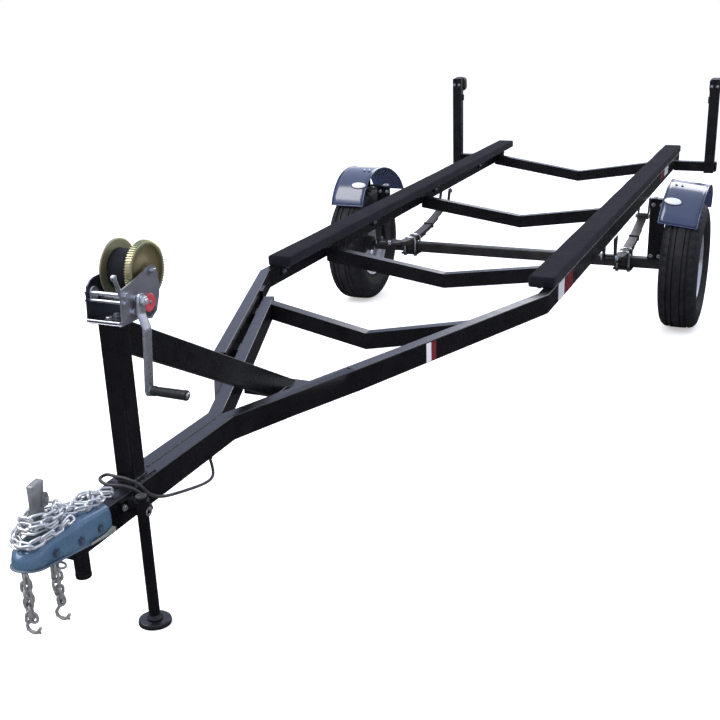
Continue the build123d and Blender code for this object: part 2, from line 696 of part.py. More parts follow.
# the rest heaped around the latch, with its end run back onto the tongue
heap = [(-14, -3548, 585), (-36, -3572, 585), (-38, -3618, 585), (-32, -3662, 583),
        (-4, -3684, 581), (26, -3676, 582), (38, -3638, 585), (34, -3594, 585),
        (12, -3574, 592), (-16, -3584, 598), (-30, -3618, 600), (-24, -3658, 599),
        (14, -3670, 598), (33, -3634, 600), (24, -3592, 599), (4, -3556, 590),
        (-8, -3520, 582), (-20, -3484, 577), (-20, -3448, 573), (4, -3428, 567),
        (28, -3436, 564)]
finish(rounded_run(heap, CHAIN_R, "chain heap"), "chain_pile")

# ---------------------------------------------------------------- wiring
CORD_D = 8.0
gland_dir = Vector(0.5, -0.35, -0.79).normalized()
gland_at = Vector(22.0, -3003.0, ARM_TOP - TUBE_H)
with BuildPart() as gland:
    with BuildSketch(Plane(origin=gland_at - gland_dir * 10, z_dir=gland_dir)):
        Circle(7.5)
    extrude(amount=22)
    with BuildSketch(Plane.XY.offset(ARM_TOP - TUBE_H)):
        with Locations((22, -3003)):
            Rectangle(60, 60)
    extrude(amount=30, mode=Mode.SUBTRACT)
finish(gland.part, "wiring_gland")

first = gland_at + gland_dir * 12
second = first + gland_dir * 31
route = [tuple(first), tuple(second), (58, -3050, 445), (65, -3100, 454),
         (65, -3160, 469), (62, -3220, 484), (57, -3276, 500), (52, -3314, 524),
         (51, -3342, 563), (18, -3347, 577), (-14, -3342, 573), (-40, -3337, 573),
         (-60, -3338, 573), (-64, -3360, 573), (-42, -3376, 573), (-8, -3386, 573),
         (24, -3377, 574), (48, -3363, 562), (57, -3342, 537), (58, -3334, 512)]
cord = rounded_run([to_part(p) for p in route], CORD_D / 2, "cord")
cord.label = "wiring_cord"
export_step(cord, "parts/wiring_cord.step")

# flat plug at the cord's free end
end = Vector(*route[-1])
end_dir = (end - Vector(*route[-2])).normalized()
with BuildPart() as plug:
    with BuildSketch(Plane(origin=end, x_dir=(0, 1, 0.3), z_dir=end_dir)):
        RectangleRounded(22, 11, 3)
    extrude(amount=24)
finish(plug.part, "wiring_plug")
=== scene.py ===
import math, random
import bpy
from mathutils import Vector, Matrix


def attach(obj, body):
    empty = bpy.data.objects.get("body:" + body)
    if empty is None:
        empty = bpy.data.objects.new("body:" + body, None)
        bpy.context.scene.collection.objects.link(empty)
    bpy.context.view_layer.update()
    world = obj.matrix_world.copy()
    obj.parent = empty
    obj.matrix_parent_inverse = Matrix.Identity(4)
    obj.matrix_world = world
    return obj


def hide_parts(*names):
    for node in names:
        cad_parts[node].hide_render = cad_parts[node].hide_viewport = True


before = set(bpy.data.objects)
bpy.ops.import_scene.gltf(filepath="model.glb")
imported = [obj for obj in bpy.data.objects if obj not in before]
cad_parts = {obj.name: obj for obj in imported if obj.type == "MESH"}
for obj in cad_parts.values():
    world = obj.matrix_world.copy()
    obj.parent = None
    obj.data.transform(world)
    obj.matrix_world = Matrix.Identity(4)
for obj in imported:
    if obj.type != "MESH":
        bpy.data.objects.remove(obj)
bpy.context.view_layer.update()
random.seed(11)

# ------------------------------------------------------------------ the model's drawing frame
# Pieces are drawn level, in millimetres, with the axle at y = 0 and z = 303, and then
# take the same place and pitch as the CAD.
PITCH = math.radians(3.75)
AXLE_Y, AXLE_Z = 1038.477, 303.0
TRACK = 1699.0
CP, SP = math.cos(PITCH), math.sin(PITCH)


def F(x, y, z):
    z -= AXLE_Z
    return Vector((x, AXLE_Y + CP * y - SP * z, AXLE_Z + SP * y + CP * z)) / 1000


def LV(x, y, z):
    return Vector((x, y + AXLE_Y, z)) / 1000


# ------------------------------------------------------------------ camera
yaw, pitch, roll = [math.radians(a) for a in (23.9663, 16.4442, -0.4235)]
fwd = Vector((-math.sin(yaw) * math.cos(pitch), math.cos(yaw) * math.cos(pitch), -math.sin(pitch)))
right = Vector((math.cos(yaw), math.sin(yaw), 0))
up = right.cross(fwd)
r2 = right * math.cos(roll) + up * math.sin(roll)
u2 = -right * math.sin(roll) + up * math.cos(roll)
cam = bpy.data.objects.new("Camera", bpy.data.cameras.new("Camera"))
bpy.context.collection.objects.link(cam)
M = Matrix((r2, u2, -fwd)).transposed().to_4x4()
M.translation = Vector((1.44156, -5.21254 + AXLE_Y / 1000, 1.31221))
cam.matrix_world = M
cam.data.sensor_width = 36
cam.data.lens = 1049.3171 / 720 * 36
cam.data.clip_end = 3000
bpy.context.scene.camera = cam
bpy.context.scene.view_settings.view_transform = "Standard"

# ------------------------------------------------------------------ the wiring cord
ROUTE = [(28.01, -3007.21, 476.5), (43.54, -3018.08, 451.97), (58, -3050, 445), (65, -3100, 454),
         (65, -3160, 469), (62, -3220, 484), (57, -3276, 500), (52, -3314, 524),
         (51, -3342, 563), (18, -3347, 577), (-14, -3342, 573), (-36, -3338, 573),
         (-47, -3340, 573), (-50, -3360, 573), (-36, -3375, 573), (-8, -3386, 573),
         (24, -3377, 574), (48, -3363, 562), (57, -3342, 537), (58, -3334, 512)]
curve = bpy.data.curves.new("wiring_cable", "CURVE")
curve.dimensions = "3D"
sp = curve.splines.new("NURBS")
sp.points.add(len(ROUTE) - 1)
for pt, c in zip(sp.points, ROUTE):
    pt.co = (*F(*c), 1)
    pt.radius = 0.02
sp.order_u = 3
sp.use_endpoint_u = True
curve.resolution_u = 10
curve.bevel_depth = 0.2
curve.bevel_resolution = 5
cable = bpy.data.objects.new("wiring_cable", curve)
bpy.context.collection.objects.link(cable)
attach(cable, "trailer")

# ------------------------------------------------------------------ mesh helpers
# A shape is a pair (verts in mm, faces).


def merged(*shapes):
    v, f = [], []
    for sv, sf in shapes:
        k = len(v)
        v += list(sv)
        f += [tuple(i + k for i in face) for face in sf]
    return v, f


def box(x0, x1, y0, y1, z0, z1):
    v = [(x, y, z) for x in (x0, x1) for y in (y0, y1) for z in (z0, z1)]
    f = [(0, 1, 3, 2), (4, 6, 7, 5), (0, 4, 5, 1), (2, 3, 7, 6), (0, 2, 6, 4), (1, 5, 7, 3)]
    return v, f


def loft(rings, closed_ring=True, cap=True):
    """Quads between equal rings of points."""
    n = len(rings[0])
    v = [p for ring in rings for p in ring]
    f = []
    m = n if closed_ring else n - 1
    for i in range(len(rings) - 1):
        for j in range(m):
            k = (j + 1) % n
            f.append((i * n + j, i * n + k, (i + 1) * n + k, (i + 1) * n + j))
    if cap:
        f.append(tuple(range(n - 1, -1, -1)))
        f.append(tuple((len(rings) - 1) * n + j for j in range(n)))
    return v, f


def frames(pts, closed=False):
    """Points with tangents and two smooth normals along a path."""
    pts = [Vector(p) for p in pts]
    n = len(pts)
    tans = []
    for i in range(n):
        a = pts[(i - 1) % n] if closed or i else pts[i]
        b = pts[(i + 1) % n] if closed or i < n - 1 else pts[i]
        tans.append((b - a).normalized())
    ref = Vector((0, 0, 1)) if abs(tans[0].z) < 0.9 else Vector((1, 0, 0))
    nrm = (ref - tans[0] * ref.dot(tans[0])).normalized()
    out = []
    for p, t in zip(pts, tans):
        nrm = (nrm - t * nrm.dot(t)).normalized()
        out.append((p, t, nrm, t.cross(nrm)))
    return out


def sweep(pts, r, seg=8, closed=False, ragged=0.0):
    rings = []
    for p, t, a, b in frames(pts, closed):
        k = r * (1 + random.uniform(-ragged, ragged))
        rings.append([tuple(p + (a * math.cos(q) + b * math.sin(q)) * k)
                      for q in (2 * math.pi * j / seg for j in range(seg))])
    if closed:
        v, f = loft(rings, cap=False)
        n, m = len(rings), seg
        f += [((n - 1) * m + j, (n - 1) * m + (j + 1) % m, (j + 1) % m, j) for j in range(m)]
        return v, f
    return loft(rings)


def smooth_path(pts, step=4.0):
    """A Catmull-Rom path through the points."""
    pts = [Vector(p) for p in pts]
    ext = [pts[0] * 2 - pts[1]] + pts + [pts[-1] * 2 - pts[-2]]
    out = []
    for i in range(1, len(ext) - 2):
        p0, p1, p2, p3 = ext[i - 1:i + 3]
        n = max(2, int((p2 - p1).length / step))
        for k in range(n):
            t = k / n
            out.append(0.5 * (2 * p1 + (p2 - p0) * t + (2 * p0 - 5 * p1 + 4 * p2 - p3) * t * t
                              + (3 * p1 - p0 - 3 * p2 + p3) * t ** 3))
    out.append(pts[-1])
    return out


def lathe(profile, cx, cy, cz, seg=48, axis="x", flip=1, closed=False):
    """Profile of (distance along the axis, radius) turned about the axis."""
    rings = []
    for a, r in profile:
        a *= flip
        ring = []
        for j in range(seg):
            q = 2 * math.pi * j / seg
            c, s = r * math.cos(q), r * math.sin(q)
            if axis == "x":
                ring.append((cx + a, cy + c, cz + s))
            elif axis == "y":
                ring.append((cx + s, cy + a, cz + c))
            else:
                ring.append((cx + c, cy + s, cz + a))
        rings.append(ring)
    if closed:
        v, f = loft(rings, cap=False)
        n, m = len(rings), seg
        f += [((n - 1) * m + j, (n - 1) * m + (j + 1) % m, (j + 1) % m, j) for j in range(m)]
        return v, f
    return loft(rings)


def prism(outline, a0, a1, axis="x"):
    """Outline of two coordinates pushed along the third."""
    def put(u, w, a):
        return {"x": (a, u, w), "y": (u, a, w), "z": (u, w, a)}[axis]
    return loft([[put(u, w, a0) for u, w in outline], [put(u, w, a1) for u, w in outline]])


def turned(shape, matrix):
    v, f = shape
    return [tuple(matrix @ Vector(p)) for p in v], f


def bolt(x, y, z, axis="x", sign=1, af=13.0, h=6.0, washer=True):
    """Hex head with a chamfered top, on a washer."""
    def ring(r, a, n=6, turn=0.0):
        out = []
        for j in range(n):
            q = 2 * math.pi * j / n + turn
            c, s = r * math.cos(q), r * math.sin(q)
            d = a * sign
            out.append({"x": (x + d, y + c, z + s), "y": (x + c, y + d, z + s),
                        "z": (x + c, y + s, z + d)}[axis])
        return out
    r = af / 2 / math.cos(math.pi / 6)
    t = random.uniform(0, 1)
    base = 1.5 if washer else 0.0
    parts = [loft([ring(r, base, turn=t), ring(r, base + h - 1.2, turn=t),
                   ring(r * 0.86, base + h, turn=t)])]
    if washer:
        parts.append(loft([ring(r * 1.35, 0, 20), ring(r * 1.35, 1.5, 20)]))
    return merged(*parts)


def link(centre, along, side, inner=22.0, wire=6.0, width=21.0, seg=8, arc=7):
    """One chain link: a rod bent round into a long ring."""
    along = along.normalized()
    side = (side - along * side.dot(along)).normalized()
    half = (inner + wire) / 2
    rr = (width - wire) / 2
    pts = []
    for end in (1, -1):
        for k in range(arc):
            q = math.pi * k / (arc - 1) - math.pi / 2
            c = (half - rr) * end + rr * math.cos(q) * end
            s = rr * math.sin(q) * end
            pts.append(centre + along * c + side * s)
    return sweep(pts, wire / 2, seg, closed=True)


def chain(path, pitch=22.0, wire=6.0, roll=0.0, jitter=0.0, width=21.0):
    pts = smooth_path(path, 3.0)
    run = [0.0]
    for a, b in zip(pts, pts[1:]):
        run.append(run[-1] + (b - a).length)

    def at(s):
        s = min(max(s, 0), run[-1] - 1e-6)
        for i in range(len(run) - 1):
            if run[i + 1] > s:
                return pts[i].lerp(pts[i + 1], (s - run[i]) / (run[i + 1] - run[i]))
        return pts[-1]
    out = []
    n = int(run[-1] / pitch)
    for i in range(n):
        c, a, b = at((i + 0.5) * pitch), at(i * pitch), at((i + 1) * pitch)
        t = (b - a).normalized()
        ref = Vector((0, 0, 1)) if abs(t.z) < 0.85 else Vector((1, 0.3, 0))
        n1 = (ref - t * ref.dot(t)).normalized()
        n2 = t.cross(n1)
        q = roll + (math.pi / 2) * (i % 2) + random.uniform(-jitter, jitter)
        out.append(link(c, t, n1 * math.cos(q) + n2 * math.sin(q), pitch, wire, width))
    return merged(*out)


def piece(name, shape, body="trailer", mat=None, level=False, smooth=True,
          bevel=0.0, subdiv=0, replaces=(), segs=2, angle=35):
    v, f = shape
    put = LV if level else F
    me = bpy.data.meshes.new(name)
    me.from_pydata([put(*p) for p in v], [], f)
    me.validate()
    me.update()
    if smooth:
        for poly in me.polygons:
            poly.use_smooth = True
    o = bpy.data.objects.new(name, me)
    bpy.context.collection.objects.link(o)
    if bevel:
        b = o.modifiers.new("bevel", "BEVEL")
        b.width = bevel / 1000
        b.segments = segs
        b.limit_method = "ANGLE"
        b.angle_limit = math.radians(40)
    if subdiv:
        s = o.modifiers.new("subdiv", "SUBSURF")
        s.levels = s.render_levels = subdiv
    if smooth:
        me.set_sharp_from_angle(angle=math.radians(angle))
    if mat:
        me.materials.append(mat)
    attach(o, body)
    if replaces:
        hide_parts(*replaces)
    return o


# ------------------------------------------------------------------ materials
def material(name, base, rough, metallic=0.0, tint=None, scale=30.0, amount=0.5, bump=0.15,
             bump_scale=400.0, rough_span=0.12, coat=0.0, sheen=0.0, specular=0.5,
             dust=None, dust_amount=0.0, dust_scale=6.0, coat_rough=0.05, wave=None):
    """A surface whose colour drifts between base and tint, with uneven roughness, fine
    relief and, where asked for, dust or grime in patches."""
    m = bpy.data.materials.new(name)
    m.use_nodes = True
    nt = m.node_tree
    p = nt.nodes["Principled BSDF"]
    L = nt.links.new
    p.inputs["Metallic"].default_value = metallic
    p.inputs["Coat Weight"].default_value = coat
    p.inputs["Coat Roughness"].default_value = coat_rough
    p.inputs["Sheen Weight"].default_value = sheen
    p.inputs["Specular IOR Level"].default_value = specular
    tc = nt.nodes.new("ShaderNodeTexCoord")
    n1 = nt.nodes.new("ShaderNodeTexNoise")
    n1.inputs["Scale"].default_value = scale
    n1.inputs["Detail"].default_value = 6
    L(tc.outputs["Object"], n1.inputs["Vector"])
    ramp = nt.nodes.new("ShaderNodeValToRGB")
    ramp.color_ramp.elements[0].position = 0.5 - amount / 2
    ramp.color_ramp.elements[1].position = 0.5 + amount / 2
    ramp.color_ramp.elements[0].color = (*base, 1)
    ramp.color_ramp.elements[1].color = (*(tint or tuple(min(1, c * 1.35 + 0.004) for c in base)), 1)
    L(n1.outputs["Fac"], ramp.inputs["Fac"])
    colour = ramp.outputs["Color"]
    if dust:
        n2 = nt.nodes.new("ShaderNodeTexNoise")
        n2.inputs["Scale"].default_value = dust_scale
        n2.inputs["Detail"].default_value = 9
        n2.inputs["Roughness"].default_value = 0.65
        L(tc.outputs["Object"], n2.inputs["Vector"])
        r2_ = nt.nodes.new("ShaderNodeMapRange")
        r2_.inputs["From Min"].default_value = 0.45
        r2_.inputs["From Max"].default_value = 0.75
        r2_.inputs["To Max"].default_value = dust_amount
        L(n2.outputs["Fac"], r2_.inputs["Value"])
        mix = nt.nodes.new("ShaderNodeMix")
        mix.data_type = "RGBA"
        mix.inputs["B"].default_value = (*dust, 1)
        L(r2_.outputs["Result"], mix.inputs["Factor"])
        L(colour, mix.inputs["A"])
        colour = mix.outputs["Result"]
    L(colour, p.inputs["Base Color"])
    mr = nt.nodes.new("ShaderNodeMapRange")
    mr.inputs["To Min"].default_value = max(0.02, rough - rough_span)
    mr.inputs["To Max"].default_value = min(1, rough + rough_span)
    n3 = nt.nodes.new("ShaderNodeTexNoise")
    n3.inputs["Scale"].default_value = scale * 2.3
    n3.inputs["Detail"].default_value = 4
    L(tc.outputs["Object"], n3.inputs["Vector"])
    L(n3.outputs["Fac"], mr.inputs["Value"])
    L(mr.outputs["Result"], p.inputs["Roughness"])
    bp = nt.nodes.new("ShaderNodeBump")
    bp.inputs["Strength"].default_value = bump
    bp.inputs["Distance"].default_value = 0.0006
    n4 = nt.nodes.new("ShaderNodeTexNoise")
    n4.inputs["Scale"].default_value = bump_scale
    n4.inputs["Detail"].default_value = 3
    L(tc.outputs["Object"], n4.inputs["Vector"])
    height = n4.outputs["Fac"]
    if wave:
        wv = nt.nodes.new("ShaderNodeTexWave")
        wv.bands_direction = wave[0]
        wv.inputs["Scale"].default_value = wave[1]
        wv.inputs["Distortion"].default_value = wave[2]
        L(tc.outputs["Object"], wv.inputs["Vector"])
        add = nt.nodes.new("ShaderNodeMath")
        add.operation = "ADD"
        L(height, add.inputs[0])
        L(wv.outputs["Fac"], add.inputs[1])
        height = add.outputs[0]
    L(height, bp.inputs["Height"])
    L(bp.outputs["Normal"], p.inputs["Normal"])
    return m


FRAME_BLACK = material("frame_black", (0.0022, 0.0021, 0.0030), 0.29, coat=0.0, scale=14, bump=0.10,
                       bump_scale=260, tint=(0.0045, 0.0043, 0.006), specular=0.56,
                       dust=(0.04, 0.039, 0.042), dust_amount=0.08, dust_scale=9)
AXLE_BLACK = material("axle_black", (0.007, 0.007, 0.008), 0.42, scale=20, bump=0.2,
                      tint=(0.014, 0.013, 0.013), dust=(0.06, 0.05, 0.045), dust_amount=0.2)
LEAF = material("spring_steel", (0.016, 0.015, 0.016), 0.38, metallic=0.3, scale=60, bump=0.3,
                tint=(0.045, 0.035, 0.028), dust=(0.16, 0.07, 0.03), dust_amount=0.2, dust_scale=30)
CARPET = material("bunk_carpet", (0.0055, 0.0055, 0.0085), 0.95, scale=160, bump=1.0, bump_scale=900,
                  tint=(0.014, 0.0142, 0.020), amount=0.7, sheen=0.03, specular=0.04,
                  dust=(0.06, 0.055, 0.055), dust_amount=0.15, dust_scale=12)
RUBBER = material("tyre_rubber", (0.005, 0.005, 0.0068), 0.64, scale=40, bump=0.35, bump_scale=700,
                  tint=(0.010, 0.0097, 0.012), specular=0.28, dust=(0.06, 0.056, 0.055),
                  dust_amount=0.15, dust_scale=14)
SILVER = material("rim_silver", (0.66, 0.67, 0.69), 0.32, metallic=0.75, scale=24, bump=0.10,
                  tint=(0.60, 0.61, 0.63), bump_scale=700, dust=(0.42, 0.40, 0.37),
                  dust_amount=0.22, dust_scale=11)
ZINC = material("bright_zinc", (0.66, 0.68, 0.72), 0.30, metallic=0.9, scale=45, bump=0.15,
                tint=(0.52, 0.54, 0.59), bump_scale=500, dust=(0.40, 0.39, 0.38),
                dust_amount=0.12, dust_scale=14)
# a darker copy of the bright zinc for the winch frame: painted shade standing in for the dark surroundings it
# reflects, with dust in patches
ZINC_PAINTED_SHADE = material("zinc_dust_and_painted_shade", (0.46, 0.475, 0.53), 0.34, metallic=0.9, scale=24, bump=0.15,
                     tint=(0.56, 0.57, 0.63), bump_scale=500, dust=(0.20, 0.19, 0.17),
                     dust_amount=0.3, dust_scale=9)
CHAIN = material("chain_zinc", (0.80, 0.82, 0.83), 0.34, metallic=0.75, scale=80, bump=0.3,
                 tint=(0.55, 0.56, 0.58), bump_scale=600, dust=(0.30, 0.30, 0.28),
                 dust_amount=0.3, dust_scale=60)
CHAIN_DULL = material("chain_dull", (0.30, 0.29, 0.275), 0.42, metallic=0.6, scale=70, bump=0.4,
                      tint=(0.46, 0.45, 0.43), bump_scale=600, dust=(0.12, 0.11, 0.10),
                      dust_amount=0.5, dust_scale=70)
GOLD = material("gold_zinc", (0.52, 0.47, 0.27), 0.34, metallic=0.85, scale=22, bump=0.15,
                tint=(0.40, 0.44, 0.30), amount=0.35, dust=(0.55, 0.42, 0.20),
                dust_amount=0.4, dust_scale=18)
# a darker copy of the gold zinc for the recessed drum web: its gold-brown tone plus painted shade for the recess
GOLD_DARK = material("gold_zinc_web_painted_shade", (0.22, 0.18, 0.085), 0.42, metallic=0.7, scale=25, bump=0.2,
                     tint=(0.30, 0.26, 0.13), dust=(0.12, 0.10, 0.05), dust_amount=0.3)
STRAP = material("strap_webbing", (0.006, 0.006, 0.011), 0.85, scale=120, bump=0.9,
                 bump_scale=500, tint=(0.013, 0.013, 0.021), sheen=0.05, specular=0.15,
                 wave=("X", 260, 1.5))
RED = material("red_plastic", (0.40, 0.022, 0.035), 0.40, scale=60, bump=0.12,
               tint=(0.50, 0.05, 0.06), specular=0.5)
GRIP = material("grip_black", (0.008, 0.009, 0.009), 0.45, scale=90, bump=0.4, bump_scale=900,
                tint=(0.017, 0.018, 0.018), specular=0.35)
BLUE_EDGE = material("coupler_blue_edge", (0.065, 0.10, 0.14), 0.5, metallic=0.2, scale=30, bump=0.3,
                     tint=(0.10, 0.14, 0.175), bump_scale=300, dust=(0.22, 0.25, 0.27),
                     dust_amount=0.4, dust_scale=40)
# a darker copy of the coupler blue for the side bolts: painted shade, as if they sat in recesses
BLUE_DARK = material("coupler_blue_bolt_painted_shade", (0.035, 0.062, 0.095), 0.5, metallic=0.2, scale=30, bump=0.3,
                     tint=(0.06, 0.09, 0.13))
TAN = material("tab_weathered", (0.20, 0.215, 0.17), 0.55, metallic=0.2, scale=60, bump=0.4,
               tint=(0.30, 0.31, 0.27), dust=(0.10, 0.10, 0.09), dust_amount=0.4, dust_scale=50)
BLUE = material("coupler_blue", (0.058, 0.120, 0.190), 0.30, metallic=0.25, scale=18, bump=0.2,
                tint=(0.080, 0.152, 0.235), bump_scale=300, coat=0.3, coat_rough=0.2,
                dust=(0.20, 0.25, 0.30), dust_amount=0.25, dust_scale=22)
LATCH = material("latch_zinc", (0.22, 0.23, 0.23), 0.42, metallic=0.7, scale=50, bump=0.3,
                 tint=(0.33, 0.34, 0.33), dust=(0.14, 0.14, 0.13), dust_amount=0.4, dust_scale=40)
FENDER = material("fender_gloss", (0.020, 0.032, 0.078), 0.20, coat=0.9, coat_rough=0.13, scale=6,
                  bump=0.03, bump_scale=120, tint=(0.032, 0.046, 0.10), rough_span=0.05,
                  dust=(0.10, 0.10, 0.10), dust_amount=0.08)
CLEAR = material("pale_lens", (0.68, 0.72, 0.80), 0.14, scale=90, bump=0.3, bump_scale=180,
                 tint=(0.80, 0.82, 0.86), coat=0.6)
RED_LENS = material("red_lens", (0.30, 0.008, 0.010), 0.16, scale=80, bump=0.5,
                    bump_scale=150, tint=(0.38, 0.02, 0.02), coat=0.8)
LAMP = material("lamp_housing", (0.012, 0.012, 0.013), 0.5, scale=60, bump=0.3,
                tint=(0.028, 0.028, 0.029))
CABLE = material("cable_jacket", (0.020, 0.018, 0.021), 0.55, scale=60, bump=0.25,
                 tint=(0.04, 0.036, 0.04), bump_scale=500)
PLUG = material("plug_rubber", (0.018, 0.018, 0.018), 0.6, scale=80, bump=0.4,
                tint=(0.035, 0.035, 0.035))
TAPE_W = material("tape_white", (0.72, 0.72, 0.72), 0.25, scale=600, bump=0.3, bump_scale=900,
                  tint=(0.60, 0.61, 0.63), coat=0.5)
TAPE_R = material("tape_red", (0.12, 0.008, 0.012), 0.25, scale=600, bump=0.3, bump_scale=900,
                  tint=(0.18, 0.02, 0.022), coat=0.5)
CAP = material("end_cap", (0.013, 0.013, 0.014), 0.6, scale=70, bump=0.35,
               tint=(0.03, 0.03, 0.03))

PACKER = material("packer_black", (0.003, 0.003, 0.004), 0.85, scale=40, bump=0.3,
                  tint=(0.006, 0.006, 0.007), specular=0.04)

# painted shade inside the winch box: dark from the far plate across, unshaded on the near plate
nt_ = ZINC_PAINTED_SHADE.node_tree
tc_ = nt_.nodes.new("ShaderNodeTexCoord")
sx_n = nt_.nodes.new("ShaderNodeSeparateXYZ")
painted_shade_ramp = nt_.nodes.new("ShaderNodeMapRange")
painted_shade_ramp.inputs["From Min"].default_value = 0.036
painted_shade_ramp.inputs["From Max"].default_value = 0.047
gm = nt_.nodes.new("ShaderNodeMix")
gm.data_type = "RGBA"
# colour of the painted shade on the far plate
gm.inputs["A"].default_value = (0.070, 0.075, 0.095, 1)
pb = nt_.nodes["Principled BSDF"]
was = pb.inputs["Base Color"].links[0].from_socket
nt_.links.new(tc_.outputs["Object"], sx_n.inputs["Vector"])
nt_.links.new(sx_n.outputs["X"], painted_shade_ramp.inputs["Value"])
nt_.links.new(painted_shade_ramp.outputs["Result"], gm.inputs["Factor"])
nt_.links.new(was, gm.inputs["B"])
nt_.links.new(gm.outputs["Result"], pb.inputs["Base Color"])

cable.data.materials.append(CABLE)

BY_NODE = [("tyre", RUBBER), ("rim", SILVER), ("hub", AXLE_BLACK), ("bunk", CARPET),
           ("fender_lamp", CLEAR), ("fender_stays", FRAME_BLACK), ("fender", FENDER),
           ("winch_frame", ZINC_PAINTED_SHADE), ("winch_crank", ZINC), ("winch_rods", ZINC), ("winch_pawl", ZINC),
           ("winch_drum", GOLD), ("winch_strap", STRAP), ("crank_grip", GRIP),
           ("ratchet_cover", RED), ("coupler_latch", LATCH), ("coupler", BLUE),
           ("safety_chains", CHAIN), ("chain_pile", CHAIN), ("tail_lamp", LAMP),
           ("wiring_plug", PLUG), ("wiring_gland", PLUG), ("wiring_cord", CABLE),
           ("arm_packers", PACKER), ("leaf_spring", LEAF), ("spring", AXLE_BLACK), ("axle", AXLE_BLACK)]
for name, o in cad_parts.items():
    m = next((m for start, m in BY_NODE if name.startswith(start)), FRAME_BLACK)
    o.data.materials.clear()
    o.data.materials.append(m)

# ------------------------------------------------------------------ cord's plug
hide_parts("wiring_cord")
end, before = Vector(ROUTE[-1]), Vector(ROUTE[-2])
d = (end - before).normalized()
a = Vector((0, 1, 0.3))
a = (a - d * a.dot(d)).normalized()
b = d.cross(a)


def rounded(hw, hh, r, n=4):
    out = []
    for cx, cy, q0 in ((hw - r, hh - r, 0), (-hw + r, hh - r, 90), (-hw + r, -hh + r, 180),
                       (hw - r, -hh + r, 270)):
        for k in range(n + 1):
            q = math.radians(q0 + 90 * k / n)
            out.append((cx + r * math.cos(q), cy + r * math.sin(q)))
    return out


def ring_at(s, hw, hh, r):
    return [tuple(end + d * s + a * u + b * w) for u, w in rounded(hw, hh, r)]


plug_shape = merged(
    loft([ring_at(0.0, 4.2, 4.2, 4.0), ring_at(1.5, 5.0, 4.6, 4.0), ring_at(6, 8.0, 5.0, 3.5),
          ring_at(9, 10.6, 5.3, 3.0), ring_at(20, 11, 5.5, 2.5), ring_at(23, 10.4, 5.0, 2.4),
          ring_at(24, 9.6, 4.4, 2.2)]),
    *[loft([[tuple(end + d * s + a * (u + 1.6 * math.cos(q)) + b * (1.6 * math.sin(q)))
             for q in (math.pi * k / 5 for k in range(10))] for s in (23, 27)])
      for u in (-6.6, -2.2, 2.2, 6.6)])
plug = piece("wiring_connector", plug_shape, mat=PLUG, replaces=("wiring_plug",))
tuple(F(*ROUTE[0]))

